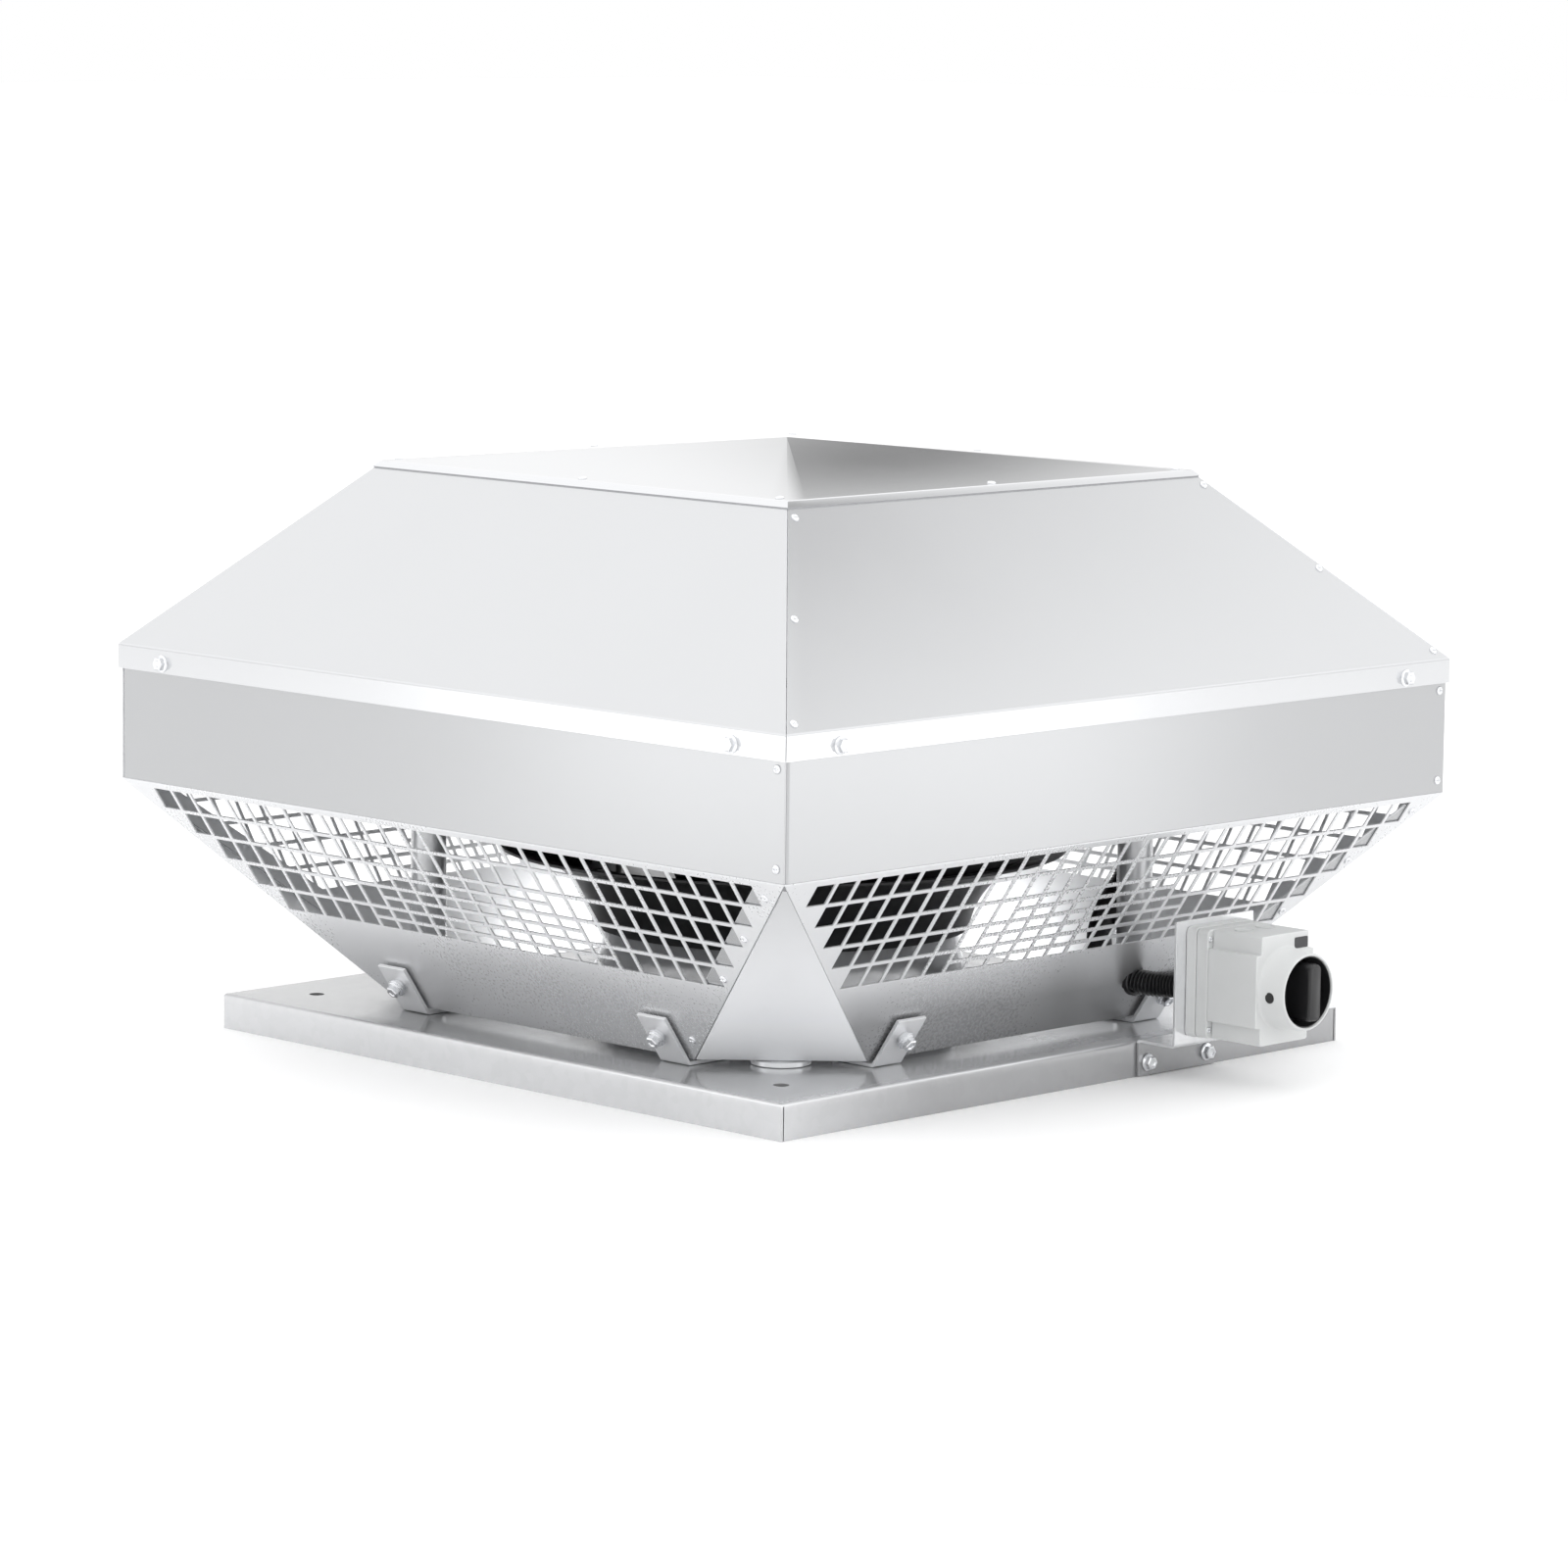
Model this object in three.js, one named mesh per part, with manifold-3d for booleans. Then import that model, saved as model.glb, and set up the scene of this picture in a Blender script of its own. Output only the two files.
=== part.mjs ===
// Roof exhaust fan: a square sheet-metal hood with punched intake-side grilles over a backward-curved
// impeller, standing on a flanged base tray, with a rotary isolator switch on one side.
// Millimetres, +Z up. The origin is the fan axis on the underside of the base tray; -Y carries the switch.
import * as THREE from "three";
import { mergeGeometries, mergeVertices } from "three/addons/utils/BufferGeometryUtils.js";
import Module from "manifold-3d";

const wasm = await Module();
wasm.setup();

// ---- driving dimensions -------------------------------------------------------------------------
const GAP = 0.35; // clearance between neighbouring pieces
const SHEET = 1.5; // hood sheet

const BASE = { half: 332.5, height: 30, sheet: 2, eye: 196, hole: 6.5, holePitch: 554, slit: 1.2 };
const NOZZLE = { throat: 149, top: 102, neck: 12, mouth: 200, flange: 222, sheet: 1.5 };
const PILLAR = { at: 210.5, outer: 15, inner: 12.5, foot: 24.5, footHeight: 4, top: 296 };

const SIDE = { half: 393.3, low: 212.4, high: 322, wrap: 20 }; // vertical belt of the hood
const SLOPE = { half: 271.3, low: 35.4, corner: 174.5 }; // lower edge of the inclined grilles
const MESH = { pitchX: 23.75, pitchV: 24.5, strand: 3.5, top: 5.8, rows: 5, columns: 30 };
const GUSSET = { top: 8, flangeTop: 14, flangeWidth: 24, flangeReach: 3 }; // reach: past the fold
const ROOF = { half: 395.4, skirtLow: 306.2, skirtHigh: 326.6, crease: 239.8, creaseZ: 481.1 };
const CAP = { apex: 506.3, lip: 7 };
const LUG = { at: 155, width: 32, sheet: 3, standOff: 2.4, top: 70.5, foot: 42 };

const IMPELLER = { radius: 240, eye: 157, eyeZ: 96, rimZ: 163, back: 256, sheet: 2.5 };
const BLADE = { count: 7, sweep: 0.62, inner: 163, outer: 237, clearance: 1.2 }; // sweep in radians
const MOTOR = { rotor: 68, rotorLow: 160, wall: 6, flange: 92, flangeSheet: 3 };
const STATOR = { core: 55, bell: 84, bellLift: 9, clearance: 6 };
const SHAFT = { radius: 8, bore: 17.3, bearing: 12, lowerZ: 182, upperZ: 272 };
const PLATE = { half: 236, corner: 34, sheet: 3, hole: 34, z: PILLAR.top + GAP };

const BRACKET = { x: 125.5, width: 95, out: 371.5, sheet: 2.5, top: 133, boltPitch: 73, boltZ: 11.5 };
const SWITCH = {
  width: 72,
  low: 38,
  high: 128.5,
  rear: 10,
  front: 449,
  wall: 2.6,
  round: 5,
  notch: { width: 6, height: 15 },
  seat: 397,
};
const COLLAR = { radius: 32, wall: 3, reach: 25, padlockHole: 4.5, holeDepth: 11 };
const KNOB = { disc: 26.5, discDepth: 7, gripWidth: 14, gripHeight: 48, reach: 21, shaft: 5, shaftEnd: 18 };
const CONTACTS = { half: 22, depth: 34, below: 8, above: 36, well: 10 };
const BOLT = { head: 5.8, headHeight: 6, flange: 7.2, flangeHeight: 1.8, hole: 3.4 };
const CONDUIT = { radius: 10.5, sides: 8, steps: 52 };
const CABLE_ENTRY = { x: 112, v: 172, radius: 17, wall: 1.2, rim: 2.4, rimHeight: 1.6, depth: 2 };
const TERMINAL = { x: 108, front: 148, depth: 88, width: 78, height: 46, gland: 14 };

const BOX_REAR = BRACKET.out + BRACKET.sheet + GAP; // depth of the enclosure's back
const MIDDLE = { x: BRACKET.x, z: (SWITCH.low + SWITCH.high) / 2 }; // the knob's axis

// The conduit runs from the switch through the south grille's lower band, up behind a pillar and to the motor.
const CONDUIT_ROUTE = [
  [125.5, -BOX_REAR + GAP, 72],
  [125.5, -355, 72],
  [122, -330, 71],
  [115, -308, 71],
  [110.5, -292, 75],
  [109, -276, 84],
  [122, -254, 89],
  [150, -226, 91],
  [182, -198, 94],
  [218, -175, 108],
  [244, -171, 132],
  [255, -174, 166],
  [255, -176, 210],
  [255, -177, 262],
  [253, -180, 298],
  [240, -186, 322],
  [212, -200, 329],
  [176, -215, 328],
  [142, -222, 327],
  [118, -215, 327],
  [108.8, -200, 327],
  [108, -189, 327],
  [108, -178, 327],
];

// ---- helpers ------------------------------------------------------------------------------------
const V = (x, y, z) => new THREE.Vector3(x, y, z);

const FINISH = {
  galvanised: { color: 0xc4c8cc, roughness: 0.35, metalness: 1 },
  aluminium: { color: 0xdfe1e4, roughness: 0.32, metalness: 1 },
  zinc: { color: 0xc9ccd0, roughness: 0.3, metalness: 1 },
  steel: { color: 0xb4b6b8, roughness: 0.25, metalness: 1 },
  casting: { color: 0x55585c, roughness: 0.55, metalness: 0.8 },
  impeller: { color: 0x1a1b1d, roughness: 0.5, metalness: 0.2 },
  housing: { color: 0xc9cccd, roughness: 0.45, metalness: 0 },
  black: { color: 0x141415, roughness: 0.5, metalness: 0 },
};

const fan = new THREE.Group();

// Adds one named mesh with its own material, turned by whole quarter turns about the fan's axis.
function add(name, geometry, finish, turns = 0) {
  const mesh = new THREE.Mesh(geometry, new THREE.MeshStandardMaterial(FINISH[finish]));
  mesh.name = name;
  mesh.rotation.z = (turns * Math.PI) / 2;
  fan.add(mesh);
}

// A closed geometry as a solid for joining and cutting.
function solid(geometry) {
  const bare = geometry.clone();
  bare.deleteAttribute("normal");
  bare.deleteAttribute("uv");
  const merged = mergeVertices(bare, 1e-4);
  return new wasm.Manifold(
    new wasm.Mesh({
      numProp: 3,
      vertProperties: merged.attributes.position.array,
      triVerts: new Uint32Array(merged.index.array),
    }),
  );
}

function geometryOf(made) {
  const mesh = made.getMesh();
  return new THREE.BufferGeometry()
    .setAttribute("position", new THREE.BufferAttribute(new Float32Array(mesh.vertProperties), 3))
    .setIndex(new THREE.BufferAttribute(new Uint32Array(mesh.triVerts), 1));
}

const join = (...parts) => geometryOf(parts.map(solid).reduce((a, b) => a.add(b)));
const cut = (from, ...tools) => geometryOf(tools.map(solid).reduce((a, b) => a.subtract(b), solid(from)));
const common = (a, b) => geometryOf(solid(a).intersect(solid(b)));

// A box given by its lowest and highest corners.
function box(x0, y0, z0, x1, y1, z1) {
  const middle = [(x0 + x1) / 2, (y0 + y1) / 2, (z0 + z1) / 2];
  return new THREE.BoxGeometry(x1 - x0, y1 - y0, z1 - z0).translate(...middle);
}

// A round bar between two points.
function bar(radius, from, to, sides = 24) {
  const along = to.clone().sub(from);
  const turn = new THREE.Quaternion().setFromUnitVectors(V(0, 1, 0), along.clone().normalize());
  return new THREE.CylinderGeometry(radius, radius, along.length(), sides)
    .applyQuaternion(turn)
    .translate(...from.clone().add(to).multiplyScalar(0.5));
}

// A solid of revolution about Z; the profile is a list of [radius, z] that closes on itself, and runs so
// that the metal lies on its left.
function turned(profile, sides = 48) {
  const points = [...profile, profile[0]].map(([r, z]) => new THREE.Vector2(r, z));
  return new THREE.LatheGeometry(points, sides).rotateX(Math.PI / 2);
}

function outline(points) {
  return new THREE.Shape(points.map(([x, y]) => new THREE.Vector2(x, y)));
}

// Extrudes a flat outline, whose axes are u and v at the origin point, by a thickness along u x v.
function sheet(shape, thickness, origin, u, v) {
  const n = u.clone().cross(v);
  const place = new THREE.Matrix4().makeBasis(u, v, n).setPosition(origin);
  const options = { depth: thickness, bevelEnabled: false, curveSegments: 12 };
  return new THREE.ExtrudeGeometry(shape, options).applyMatrix4(place);
}

// ---- base tray, inlet nozzle and pillars --------------------------------------------------------
function baseTray() {
  const { half, height, sheet: t, eye, hole, holePitch, slit } = BASE;
  const inner = half - t;
  const underside = box(-inner, -inner, -1, inner, inner, height - t);
  const tools = [underside, bar(eye, V(0, 0, 0), V(0, 0, height + 1), 40)];
  for (const x of [-1, 1]) {
    for (const y of [-1, 1]) {
      const at = V((x * holePitch) / 2, (y * holePitch) / 2, 0);
      tools.push(bar(hole, at, at.clone().setZ(height + 1), 20));
      // the folded sides stop short of each other at the corners
      const gap = box(-slit / 2, -t - 1, -1, slit / 2, t + 1, height - t);
      tools.push(gap.translate(x * (inner - slit / 2), y * half, 0));
    }
  }
  return cut(box(-half, -half, 0, half, half, height), ...tools);
}

// A bell mouth from the tray up to the throat, with a flat flange on the tray.
function inletNozzle() {
  const { throat, top, neck, mouth, flange, sheet: t } = NOZZLE;
  const low = BASE.height + GAP;
  const bend = top - neck; // where the straight throat starts
  const steps = 5;
  const bell = (offset) =>
    Array.from({ length: steps + 1 }, (_, i) => {
      const a = (i / steps) * (Math.PI / 2);
      return [mouth - (mouth - throat) * Math.sin(a) + offset, bend - (bend - low) * Math.cos(a)];
    });
  const inside = bell(0).reverse();
  const outside = bell(t).map(([r, z], i) => [r, i ? z : z + t]);
  const rim = [[flange, low], [flange, low + t]];
  return turned([...rim, ...outside, [throat + t, top], [throat, top], ...inside], 40);
}

function pillar() {
  const { outer, inner, foot, footHeight, top } = PILLAR;
  const low = BASE.height + GAP;
  return turned(
    [
      [inner, low],
      [foot, low],
      [foot, low + footHeight],
      [outer, low + footHeight],
      [outer, top],
      [inner, top],
    ],
    16,
  );
}

add("base_tray", baseTray(), "galvanised");
add("inlet_nozzle", inletNozzle(), "galvanised");
["near_left", "near_right", "far_right", "far_left"].forEach((corner, i) => {
  add("pillar_" + corner, pillar().translate(-PILLAR.at, -PILLAR.at, 0), "aluminium", i);
});

// ---- motor and its plate ------------------------------------------------------------------------
function motorPlate() {
  const { half, corner, sheet: t, hole, z } = PLATE;
  const shape = outline([
    [-half, -half + corner],
    [-half + corner, -half],
    [half - corner, -half],
    [half, -half + corner],
    [half, half - corner],
    [half - corner, half],
    [-half + corner, half],
    [-half, half - corner],
  ]);
  shape.holes.push(new THREE.Path().absarc(0, 0, hole, 0, 2 * Math.PI, true));
  return sheet(shape, t, V(0, 0, z), V(1, 0, 0), V(0, 1, 0));
}

// The wound core hangs from a wide flange under the motor plate.
function stator() {
  const { core, bell, bellLift, clearance } = STATOR;
  const { bore } = SHAFT;
  const { top } = PILLAR;
  const low = MOTOR.rotorLow + MOTOR.wall + clearance;
  const neck = IMPELLER.back + bellLift;
  return turned([[bore, low], [core, low], [core, neck], [bell, neck], [bell, top], [bore, top]], 36);
}

// The rotor is a can round the core, closed below, with a flange that carries the impeller's back plate.
function rotor() {
  const { rotor: r, rotorLow: low, wall, flange, flangeSheet } = MOTOR;
  const seat = IMPELLER.back + IMPELLER.sheet + GAP;
  const high = seat + flangeSheet;
  const outside = [[0, low], [r, low], [r, seat], [flange, seat], [flange, high]];
  return turned([...outside, [r - wall, high], [r - wall, low + wall], [0, low + wall]], 36);
}

function bearing(z) {
  const [inner, outer] = [SHAFT.radius + GAP, SHAFT.bore - GAP];
  const high = z + SHAFT.bearing;
  return turned([[inner, z], [outer, z], [outer, high], [inner, high]], 24);
}

function shaft() {
  const low = MOTOR.rotorLow + MOTOR.wall + GAP;
  return bar(SHAFT.radius, V(0, 0, low), V(0, 0, PILLAR.top - 6), 20);
}

add("motor_plate", motorPlate(), "galvanised");
add("motor_stator", stator(), "casting");
add("motor_rotor", rotor(), "casting");
add("motor_shaft", shaft(), "steel");
add("motor_bearing_lower", bearing(SHAFT.lowerZ), "steel");
add("motor_bearing_upper", bearing(SHAFT.upperZ), "steel");

// ---- impeller -----------------------------------------------------------------------------------
// The shroud's meridian runs from the eye outwards and up to the rim as a quarter of an ellipse; it can be
// lifted, and drawn in at the eye.
function shroudCurve(lift, inset = 0) {
  const { radius, eye, eyeZ, rimZ } = IMPELLER;
  const steps = 6;
  return Array.from({ length: steps + 1 }, (_, i) => {
    const a = (i / steps) * (Math.PI / 2);
    const r = radius - (radius - eye - inset) * Math.cos(a);
    return [r, eyeZ + (rimZ - eyeZ) * Math.sin(a) ** 1.2 + lift];
  });
}

function impellerShroud() {
  const t = IMPELLER.sheet;
  return turned([...shroudCurve(0, t), ...shroudCurve(t).reverse()], 40);
}

function impellerBack() {
  const { radius, back, sheet: t } = IMPELLER;
  const bore = MOTOR.rotor + GAP;
  return turned([[bore, back], [radius, back], [radius, back + t], [bore, back + t]], 40);
}

// One blade leans back from the sense of rotation in plan, and its lower edge follows the shroud.
function blade(index) {
  const { radius, eyeZ, rimZ, back, sheet: t } = IMPELLER;
  const { count, sweep, inner, outer, clearance } = BLADE;
  const steps = 6;
  const slant = Math.cos(0.9); // of the blade to the radius
  const edge = (side) =>
    Array.from({ length: steps + 1 }, (_, i) => {
      const f = i / steps;
      const r = inner + (outer - inner) * f;
      const a = sweep * f ** 0.8 + (side * t) / 2 / r / slant;
      return [r * Math.cos(a), r * Math.sin(a)];
    });
  const shape = outline([...edge(-1), ...edge(1).reverse()]);
  const raw = sheet(shape, back - GAP - eyeZ, V(0, 0, eyeZ), V(1, 0, 0), V(0, 1, 0));
  const lift = t + clearance;
  const [core, beyond, under] = [60, radius + 9, eyeZ - 20];
  const profile = [[core, under], [beyond, under], [beyond, rimZ + lift]];
  const below = turned([...profile, ...shroudCurve(lift, -clearance).reverse(), [core, eyeZ + lift]]);
  return cut(raw, below).rotateZ((index * 2 * Math.PI) / count);
}

add("impeller_shroud", impellerShroud(), "impeller");
add("impeller_back_plate", impellerBack(), "impeller");
for (let i = 0; i < BLADE.count; i += 1) {
  add("impeller_blade_" + (i + 1), blade(i), "impeller");
}

// ---- hood sides, named by the way they face ------------------------------------------------------
const RUN = Math.hypot(SIDE.half - SLOPE.half, SIDE.low - SLOPE.low); // grille height along the slope
const DOWN = V(0, SIDE.half - SLOPE.half, SLOPE.low - SIDE.low).divideScalar(RUN); // down the -Y grille
const IN = V(1, 0, 0).cross(DOWN); // into the hood through the -Y grille
const SIDES = ["south", "east", "north", "west"]; // -Y, +X, +Y, -X

// Half the grille's width at a distance down the slope.
const halfWidthAt = (v) => SIDE.half + ((SLOPE.corner - SIDE.half) * v) / RUN;

// The belt wraps round its left-hand corner, behind the next side's belt.
function belt() {
  const { half, low, high, wrap } = SIDE;
  const left = -half + SHEET + GAP;
  const shape = outline([
    [left, -half + 2.5],
    [left + 0.7, -half + 0.7],
    [left + 2.5, -half],
    [half - 0.6, -half],
    [half - 0.6, -half + SHEET],
    [left + SHEET, -half + SHEET],
    [left + SHEET, -half + wrap],
    [left, -half + wrap],
  ]);
  return sheet(shape, high - low - 1, V(0, 0, low + 1), V(1, 0, 0), V(0, 1, 0));
}

// Rows of square openings, each row one opening shorter at both ends than the row above it.
function meshOpenings() {
  const { pitchX, pitchV, strand, top, rows, columns } = MESH;
  const openings = [];
  for (let row = 0; row < rows; row += 1) {
    const count = columns - 2 * row;
    for (let i = 0; i < count; i += 1) {
      openings.push([(i - count / 2) * pitchX + strand / 2, top + row * pitchV]);
    }
  }
  return openings.map(([x, v]) => [x, v, pitchX - strand, pitchV - strand]);
}

// The grille is laid out flat, x along its top edge and y down the slope, and then put in its place.
function grille(withCableEntry) {
  const edge = 0.9;
  const blank = sheet(
    outline([
      [-halfWidthAt(0) + edge + 1, 0.2],
      [halfWidthAt(0) - edge - 1, 0.2],
      [halfWidthAt(RUN) - edge, RUN],
      [-halfWidthAt(RUN) + edge, RUN],
    ]),
    SHEET,
    V(0, 0, 0),
    V(1, 0, 0),
    V(0, 1, 0),
  );
  const punches = meshOpenings().map(([x, v, w, h]) => box(x, v, -1, x + w, v + h, SHEET + 1));
  if (withCableEntry) {
    const { x, v, radius } = CABLE_ENTRY;
    punches.push(bar(radius, V(x, v, -1), V(x, v, SHEET + 1), 24));
  }
  const corner = V(0, -SIDE.half, SIDE.low);
  const place = new THREE.Matrix4().makeBasis(V(1, 0, 0), DOWN, IN).setPosition(corner);
  return cut(blank, mergeGeometries(punches)).applyMatrix4(place);
}

// The corner gusset closes the triangle between two grilles; its flange lies behind the left one.
function gusset() {
  const a = V(-SIDE.half, -SIDE.half, SIDE.low);
  const b = V(-SLOPE.half, -SLOPE.corner, SLOPE.low);
  const c = V(-SLOPE.corner, -SLOPE.half, SLOPE.low);
  const u = c.clone().sub(b).normalize();
  const foot = b.clone().add(c).multiplyScalar(0.5);
  const v = foot.clone().sub(a).normalize();
  const rise = foot.distanceTo(a);
  const half = b.distanceTo(c) / 2;
  const slim = (at) => (half * at) / rise - 0.9; // half the width, a little inside the folds
  const { top, flangeTop, flangeWidth: width, flangeReach: reach } = GUSSET;
  const shape = outline([
    [-slim(top), top],
    [slim(top), top],
    [slim(rise), rise],
    [-slim(rise), rise],
  ]);
  const plate = sheet(shape, SHEET, a, u, v);

  // the flange is laid out on the west grille's plane
  const down = V(SIDE.half - SLOPE.half, 0, SLOPE.low - SIDE.low).divideScalar(RUN);
  const along = V(0, -1, 0);
  const into = along.clone().cross(down);
  const strip = outline([
    [halfWidthAt(flangeTop) + reach, flangeTop],
    [halfWidthAt(RUN) + reach, RUN],
    [halfWidthAt(RUN) - width, RUN],
    [halfWidthAt(flangeTop) - width, flangeTop],
  ]);
  const behind = V(-SIDE.half, 0, SIDE.low).addScaledVector(into, SHEET + GAP);
  return join(plate, sheet(strip, SHEET, behind, along, down));
}

SIDES.forEach((side, i) => {
  add("hood_belt_" + side, belt(), "aluminium", i);
  add("hood_grille_" + side, grille(side === "south"), "aluminium", i);
});
["southwest", "southeast", "northeast", "northwest"].forEach((corner, i) => {
  add("hood_gusset_" + corner, gusset(), "aluminium", i);
});

// ---- hood roof -----------------------------------------------------------------------------------
const PITCH = Math.atan2(ROOF.creaseZ - ROOF.skirtHigh, ROOF.half - ROOF.crease);

// One roof slope with its skirt, mitred to its neighbours at the hips.
function roofSlope() {
  const { half, skirtLow, skirtHigh, crease, creaseZ } = ROOF;
  const t = SHEET;
  const sag = t * Math.tan((Math.PI / 2 - PITCH) / 2);
  const profile = outline([
    [-half, skirtLow],
    [-half + t, skirtLow],
    [-half + t, skirtHigh - sag],
    [-crease + t * Math.sin(PITCH), creaseZ - t * Math.cos(PITCH)],
    [-crease, creaseZ],
    [-half, skirtHigh],
  ]);
  const blank = sheet(profile, 2 * half, V(-half, 0, 0), V(0, 1, 0), V(0, 0, 1));
  const mitre = outline([[0, 0], [-half - 20, -half - 20], [half + 20, -half - 20]]);
  const keep = sheet(mitre, 400, V(0, -2 * GAP, 200), V(1, 0, 0), V(0, 1, 0));
  return common(blank, keep);
}

// A square pyramid from a profile of [half width, z], apex last.
function pyramid(profile) {
  const points = profile.map(([half, z]) => new THREE.Vector2(half * Math.SQRT2, z));
  return new THREE.LatheGeometry(points, 4).rotateX(Math.PI / 2).rotateZ(Math.PI / 4);
}

// The cap is a very flat pyramid with a short lip folded down along the roof slopes.
function roofCap() {
  const { crease, creaseZ } = ROOF;
  const { apex, lip } = CAP;
  const lift = GAP / Math.cos(PITCH);
  const rim = crease + lip * Math.cos(PITCH);
  const rimZ = creaseZ - lip * Math.sin(PITCH) + lift;
  const [below, beyond] = [rimZ - 40, rim + 40];
  const edge = [[rim, rimZ], [rim, rimZ + SHEET], [crease, creaseZ + SHEET + lift]];
  const over = [[0, rimZ - 4], ...edge, [0, apex]];
  const under = [[0, below], [beyond, below], [crease, creaseZ + lift], [0, apex - SHEET]];
  return cut(pyramid(over), pyramid(under));
}

SIDES.forEach((side, i) => add("roof_slope_" + side, roofSlope(), "aluminium", i));
add("roof_cap", roofCap(), "aluminium");

// ---- hood fixing lugs ----------------------------------------------------------------------------
// Each lug is a bent strip: its leg stands along a grille's lower band, its foot lies on the tray.
function lug() {
  const { width, sheet: t, standOff, top, foot } = LUG;
  const lean = (SIDE.half - SLOPE.half) / (SIDE.low - SLOPE.low); // outward run per unit of height
  const low = BASE.height + GAP;
  const level = 1 / Math.cos(Math.atan(lean)); // a thickness measured level instead of square to the leg
  const faceAt = (z) => -SLOPE.half - (z - SLOPE.low) * lean - standOff * level;
  const thick = t * level;
  const shape = outline([
    [faceAt(low) - thick, low],
    [faceAt(low) + foot, low],
    [faceAt(low) + foot, low + t],
    [faceAt(low + t), low + t],
    [faceAt(top), top],
    [faceAt(top) - thick, top],
  ]);
  return sheet(shape, width, V(-width / 2, 0, 0), V(0, 1, 0), V(0, 0, 1));
}

SIDES.forEach((side, i) => {
  add("hood_lug_" + side + "_left", lug().translate(-LUG.at, 0, 0), "aluminium", i);
  add("hood_lug_" + side + "_right", lug().translate(LUG.at, 0, 0), "aluminium", i);
});

// ---- isolator switch and its bracket ---------------------------------------------------------------
// A leg bolted to the tray's side, a step outwards and an upright plate.
function switchBracket() {
  const { x, width, out, sheet: t, top, boltPitch, boltZ } = BRACKET;
  const wall = BASE.half + GAP;
  const step = BASE.height + 1.5;
  const shape = outline([
    [-wall, 0.6],
    [-wall, step],
    [-out, step],
    [-out, top],
    [-out - t, top],
    [-out - t, step - t],
    [-wall - t, step - t],
    [-wall - t, 0.6],
  ]);
  const bent = sheet(shape, width, V(x - width / 2, 0, 0), V(0, 1, 0), V(0, 0, 1));
  const holes = [-1, 1].map((side) => {
    const across = x + (side * boltPitch) / 2;
    return bar(BOLT.hole, V(across, -wall - t - 2, boltZ), V(across, -wall + 2, boltZ), 16);
  });
  const passZ = CONDUIT_ROUTE[0][2];
  const pass = bar(CONDUIT.radius + 1.2, V(x, -out - 9, passZ), V(x, -out + 9, passZ), 20);
  return cut(bent, ...holes, pass);
}

// A plain tube along the route.
function conduit() {
  const { radius, sides, steps } = CONDUIT;
  const route = CONDUIT_ROUTE.map((point) => V(...point));
  const path = new THREE.CatmullRomCurve3(route, false, "centripetal");
  const section = outline(
    Array.from({ length: sides }, (_, i) => {
      const a = (i * 2 * Math.PI) / sides;
      return [radius * Math.cos(a), radius * Math.sin(a)];
    }),
  );
  return new THREE.ExtrudeGeometry(section, { steps, extrudePath: path, bevelEnabled: false });
}

// A rectangle with round corners, about its own middle.
function roundedPlate(width, height, radius) {
  const [w, h] = [width / 2, height / 2];
  const shape = new THREE.Shape();
  shape.absarc(w - radius, h - radius, radius, 0, Math.PI / 2);
  shape.absarc(-w + radius, h - radius, radius, Math.PI / 2, Math.PI);
  shape.absarc(-w + radius, -h + radius, radius, Math.PI, 1.5 * Math.PI);
  shape.absarc(w - radius, -h + radius, radius, 1.5 * Math.PI, 2 * Math.PI);
  shape.closePath();
  return shape;
}

// A rounded block of the switch enclosure between two depths along -Y, grown or shrunk by an inset.
function enclosureBlock(rear, front, inset) {
  const width = SWITCH.width - 2 * inset;
  const height = SWITCH.high - SWITCH.low - 2 * inset;
  const shape = roundedPlate(width, height, Math.max(SWITCH.round - inset, 1));
  return new THREE.ExtrudeGeometry(shape, { depth: front - rear, bevelEnabled: false, curveSegments: 5 })
    .rotateX(Math.PI / 2)
    .translate(MIDDLE.x, -rear, MIDDLE.z);
}

function switchBase() {
  const { rear, wall } = SWITCH;
  const split = BOX_REAR + rear;
  return cut(enclosureBlock(BOX_REAR, split, 0), enclosureBlock(BOX_REAR + wall, split + 1, wall));
}

// The lid's corners are notched from the front, so that a driver reaches the screws at their ends.
function lidNotches(grow) {
  const { width, low, high, front, notch, seat } = SWITCH;
  const [w, h] = [notch.width + grow, notch.height + grow];
  const notches = [];
  for (const x of [-1, 1]) {
    const side = MIDDLE.x + (x * width) / 2;
    const [x0, x1] = x < 0 ? [side - 2, side + w] : [side - w, side + 2];
    notches.push(box(x0, -front - 2, low - 2, x1, -seat + grow, low + h));
    notches.push(box(x0, -front - 2, high - h, x1, -seat + grow, high + 2));
  }
  return mergeGeometries(notches);
}

function switchLid() {
  const { wall, front } = SWITCH;
  const rear = BOX_REAR + SWITCH.rear + GAP;
  const { radius, wall: ring, reach, padlockHole, holeDepth } = COLLAR;
  const axis = (y) => V(MIDDLE.x, -y, MIDDLE.z);
  const skin = cut(enclosureBlock(rear, front, 0), lidNotches(0));
  const room = cut(enclosureBlock(rear - 1, front - wall, wall), lidNotches(wall));
  const tube = bar(radius, axis(front - 1), axis(front + reach), 40);
  const collar = cut(tube, bar(radius - ring, axis(front - 3), axis(front + reach + 1), 40));
  const side = V(MIDDLE.x - radius, -front - holeDepth, MIDDLE.z);
  const eye = bar(padlockHole, side.clone().add(V(-3, 0, 0)), side.clone().add(V(6, 0, 0)), 14);
  const shaftHole = bar(KNOB.shaft + 2, axis(front - 9), axis(front + 3), 20);
  return cut(join(cut(skin, room), collar), shaftHole, eye);
}

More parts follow.
